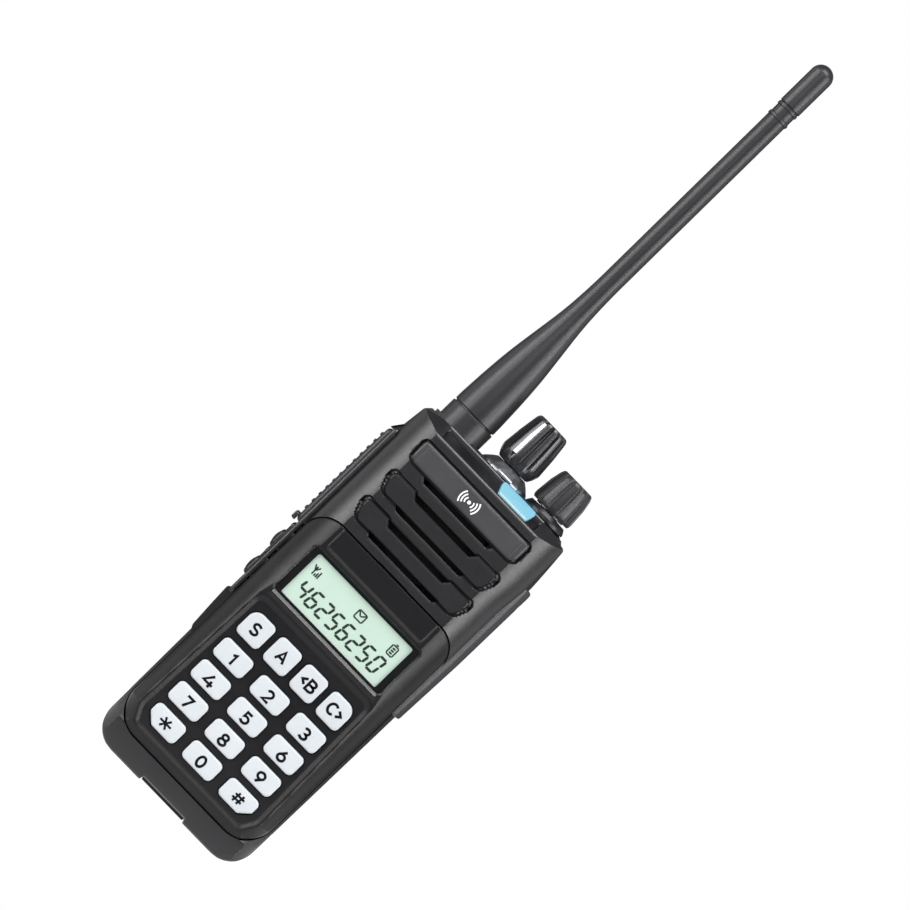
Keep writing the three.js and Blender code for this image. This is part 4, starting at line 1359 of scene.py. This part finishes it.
def make_cover():
    """The cover on the right side: it carries the flank's curve on and tapers to its foot."""
    low, high = box_mm("accessory_cover")
    foot, face = low[2], high[0]
    back = 25.4
    section = [(back, -2.5), (back, -14.5), (face - 2.0, -14.1), (face - 1.1, -13.2),
               (face - 0.4, -12.4), (face, -11.6), (face + 0.05, -10.0), (face + 0.05, -3.1),
               (face - 0.4, -2.5)]
    rings = []
    for z, thinner in ((foot, 1.5), (foot + 0.2, 0.95), (foot + 0.7, 0.75), (80, 0.15),
                       (105.6, 0.0), (106.5, 0.1), (106.9, 0.4), (107.1, 1.1)):
        rings.append(np.array([[x - thinner * (x - back) / 3.5, y, z] for x, y in section]))
    cover = lofted("accessory_cover_lid", rings, "rubber", 40)
    _, y, z = sum(box_mm("accessory_cover_screw")) / 2
    around = arc_points(y, z, 3.25, 0, 345, 23)
    rings = [np.insert(around, 0, x, axis=1) for x in (20, 30)]
    carve(cover, [lofted("bore", rings, "rubber")])
    place(cover, "radio_body", "rubber", "accessory_cover")


make_talk_button()
make_side_keys()
make_bezel()
make_talk_lip()
make_key_frame()
make_side_shoulder()
make_cover()


# ------------------------------------------------------------------ parts kept from the CAD
EDGED = {"rear_chassis": ("chassis", 0.35), "accessory_cover_screw": ("steel", 0.2),
         "battery_case": ("battery_plastic", 0.5), "battery_lid": ("battery_plastic", 0.3),
         "battery_latch": ("dark_trim", 0.3), "belt_clip": ("dark_trim", 0.5),
         "clip_bracket": ("chassis", 0.4), "clip_pin": ("steel", 0.15),
         "clip_screw_left": ("steel", 0.15), "clip_screw_right": ("steel", 0.15),
         "case_screw_left": ("steel", 0.15), "case_screw_right": ("steel", 0.15)}
for node_name, (finish, width) in EDGED.items():
    bevelled(node_name, finish, width)


def seal_outline(inside, top):
    """An outline that stays a distance inside the case's own, up to a top."""
    half = FOOT_HALF - inside
    corner = FOOT_RADIUS - inside
    return fillet(mirrored([(half, inside), (half, top - inside)]), (corner, 0.3, 0.3, corner))


def make_seals():
    """Dark seals in the seams between the case, the chassis and the battery's two halves."""
    battery_top = float(box_mm("battery_case")[1][2])
    battery = frame["nodes"]["battery_case"]["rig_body"]
    for name, body, back, top, inside in (("case_seal", "radio_body", 0.25, BODY_TOP, 1.4),
                                          ("bay_seal", "radio_body", 3.05, battery_top, 2.0),
                                          ("battery_seal", battery, 5.35, battery_top, 2.0)):
        ring = flat_ring(name, seal_outline(inside, top), seal_outline(inside + 1.2, top), back,
                         back - 0.2, "border")
        if name != "battery_seal":
            carve(ring, [block(-7.5, 7.5, -2, 4, 0, 6)])
        place(ring, body, "dark_trim")


make_seals()


def paint_kept_nodes():
    """Every CAD node that still shows takes the finish of its slot in the record."""
    slots = {part["node"]: part["material_slot"] for part in frame["record"]["subparts"]}
    for name, node in frame["nodes"].items():
        if node.hide_render:
            continue
        node.data.materials.clear()
        node.data.materials.append(MATERIALS[slots[name]])


paint_kept_nodes()


# ------------------------------------------------------------------ floor, light, camera
FLOOR_R = 160  # beyond it the world is as bright as the floor
LIGHT_AIM = (0, 0, 0.1)
CAMERA_AT = (-0.01143, -1.2215, 0.11804)  # metres
CAMERA_LENS = 182.6  # millimetres, for a sensor of 36
CAMERA_ROLL = 45.95  # degrees, so that the radio leans to the right


def make_floor():
    """A pale disc that glows as brightly as the world round it."""
    angles = np.linspace(0, 2 * math.pi, 96, endpoint=False)
    disc = FLOOR_R * np.stack([np.cos(angles), np.sin(angles), 0 * angles], 1)
    material, shader = new_material("pale_floor", (0.86, 0.86, 0.86), 0.7)
    cloud = noise(material, coordinates(material), 3)
    link(material, grey_ramp(material, cloud, 0.14, 0.16), shader.inputs["Base Color"])
    link(material, grey_ramp(material, cloud, 0.86, 0.90), shader.inputs["Emission Color"])
    shader.inputs["Emission Strength"].default_value = 1.15
    MATERIALS["floor"] = material
    floor = mesh_object("floor", disc, [tuple(range(len(disc)))], "floor")


def area_light(name, at, size, power):
    """A soft box that faces the radio; places and sizes are in metres."""
    data = bpy.data.lights.new(name, "AREA")
    data.shape = "RECTANGLE"
    data.size, data.size_y = size
    data.energy = power
    lamp = add_object(name, data)
    lamp.location = at
    lamp.rotation_euler = (Vector(LIGHT_AIM) - Vector(at)).to_track_quat("-Z", "Y").to_euler()


def make_world():
    """White as the camera sees it, and a dim cool grey as light."""
    world = bpy.data.worlds.new("studio")
    world.use_nodes = True
    bpy.context.scene.world = world
    nodes, links = world.node_tree.nodes, world.node_tree.links
    seen = nodes.new("ShaderNodeBackground")
    seen.inputs["Color"].default_value = (1, 1, 1, 1)
    seen.inputs["Strength"].default_value = 1.0
    lit = nodes["Background"]
    lit.inputs["Color"].default_value = (0.95, 0.97, 1.0, 1)
    lit.inputs["Strength"].default_value = 0.14
    path = nodes.new("ShaderNodeLightPath")
    mix = nodes.new("ShaderNodeMixShader")
    links.new(path.outputs["Is Camera Ray"], mix.inputs["Fac"])
    links.new(lit.outputs["Background"], mix.inputs[1])
    links.new(seen.outputs["Background"], mix.inputs[2])
    links.new(mix.outputs["Shader"], nodes["World Output"].inputs["Surface"])


def make_camera():
    """Looks straight at the front from 1.2 m, rolled."""
    data = bpy.data.cameras.new("camera")
    data.sensor_width = 36
    data.lens = CAMERA_LENS
    camera = add_object("camera", data)
    roll = math.radians(CAMERA_ROLL)
    right = Vector((math.cos(roll), 0, math.sin(roll)))
    up = Vector((-math.sin(roll), 0, math.cos(roll)))
    turn = Matrix((right, up, right.cross(up))).transposed().to_4x4()
    camera.matrix_world = Matrix.Translation(CAMERA_AT) @ turn
    bpy.context.scene.camera = camera


make_floor()
make_world()
make_camera()
for side, name in ((-1, "left"), (1, "right")):
    area_light(name + "_box", (1.10 * side, -0.44, 0.35), (0.45, 1.1), 13)
    area_light(name + "_strip", (0.85 * side, -0.82, 0.30), (0.12, 1.1), 5.5)
    area_light(name + "_rim", (1.15 * side, 0.35, 0.30), (0.5, 1.1), 1.8)
area_light("top_box", (0, -0.55, 1.10), (1.0, 0.35), 14)
area_light("front_fill", (-0.2, -1.6, 0.7), (0.8, 0.8), 5)
bpy.context.scene.view_settings.view_transform = "Standard"
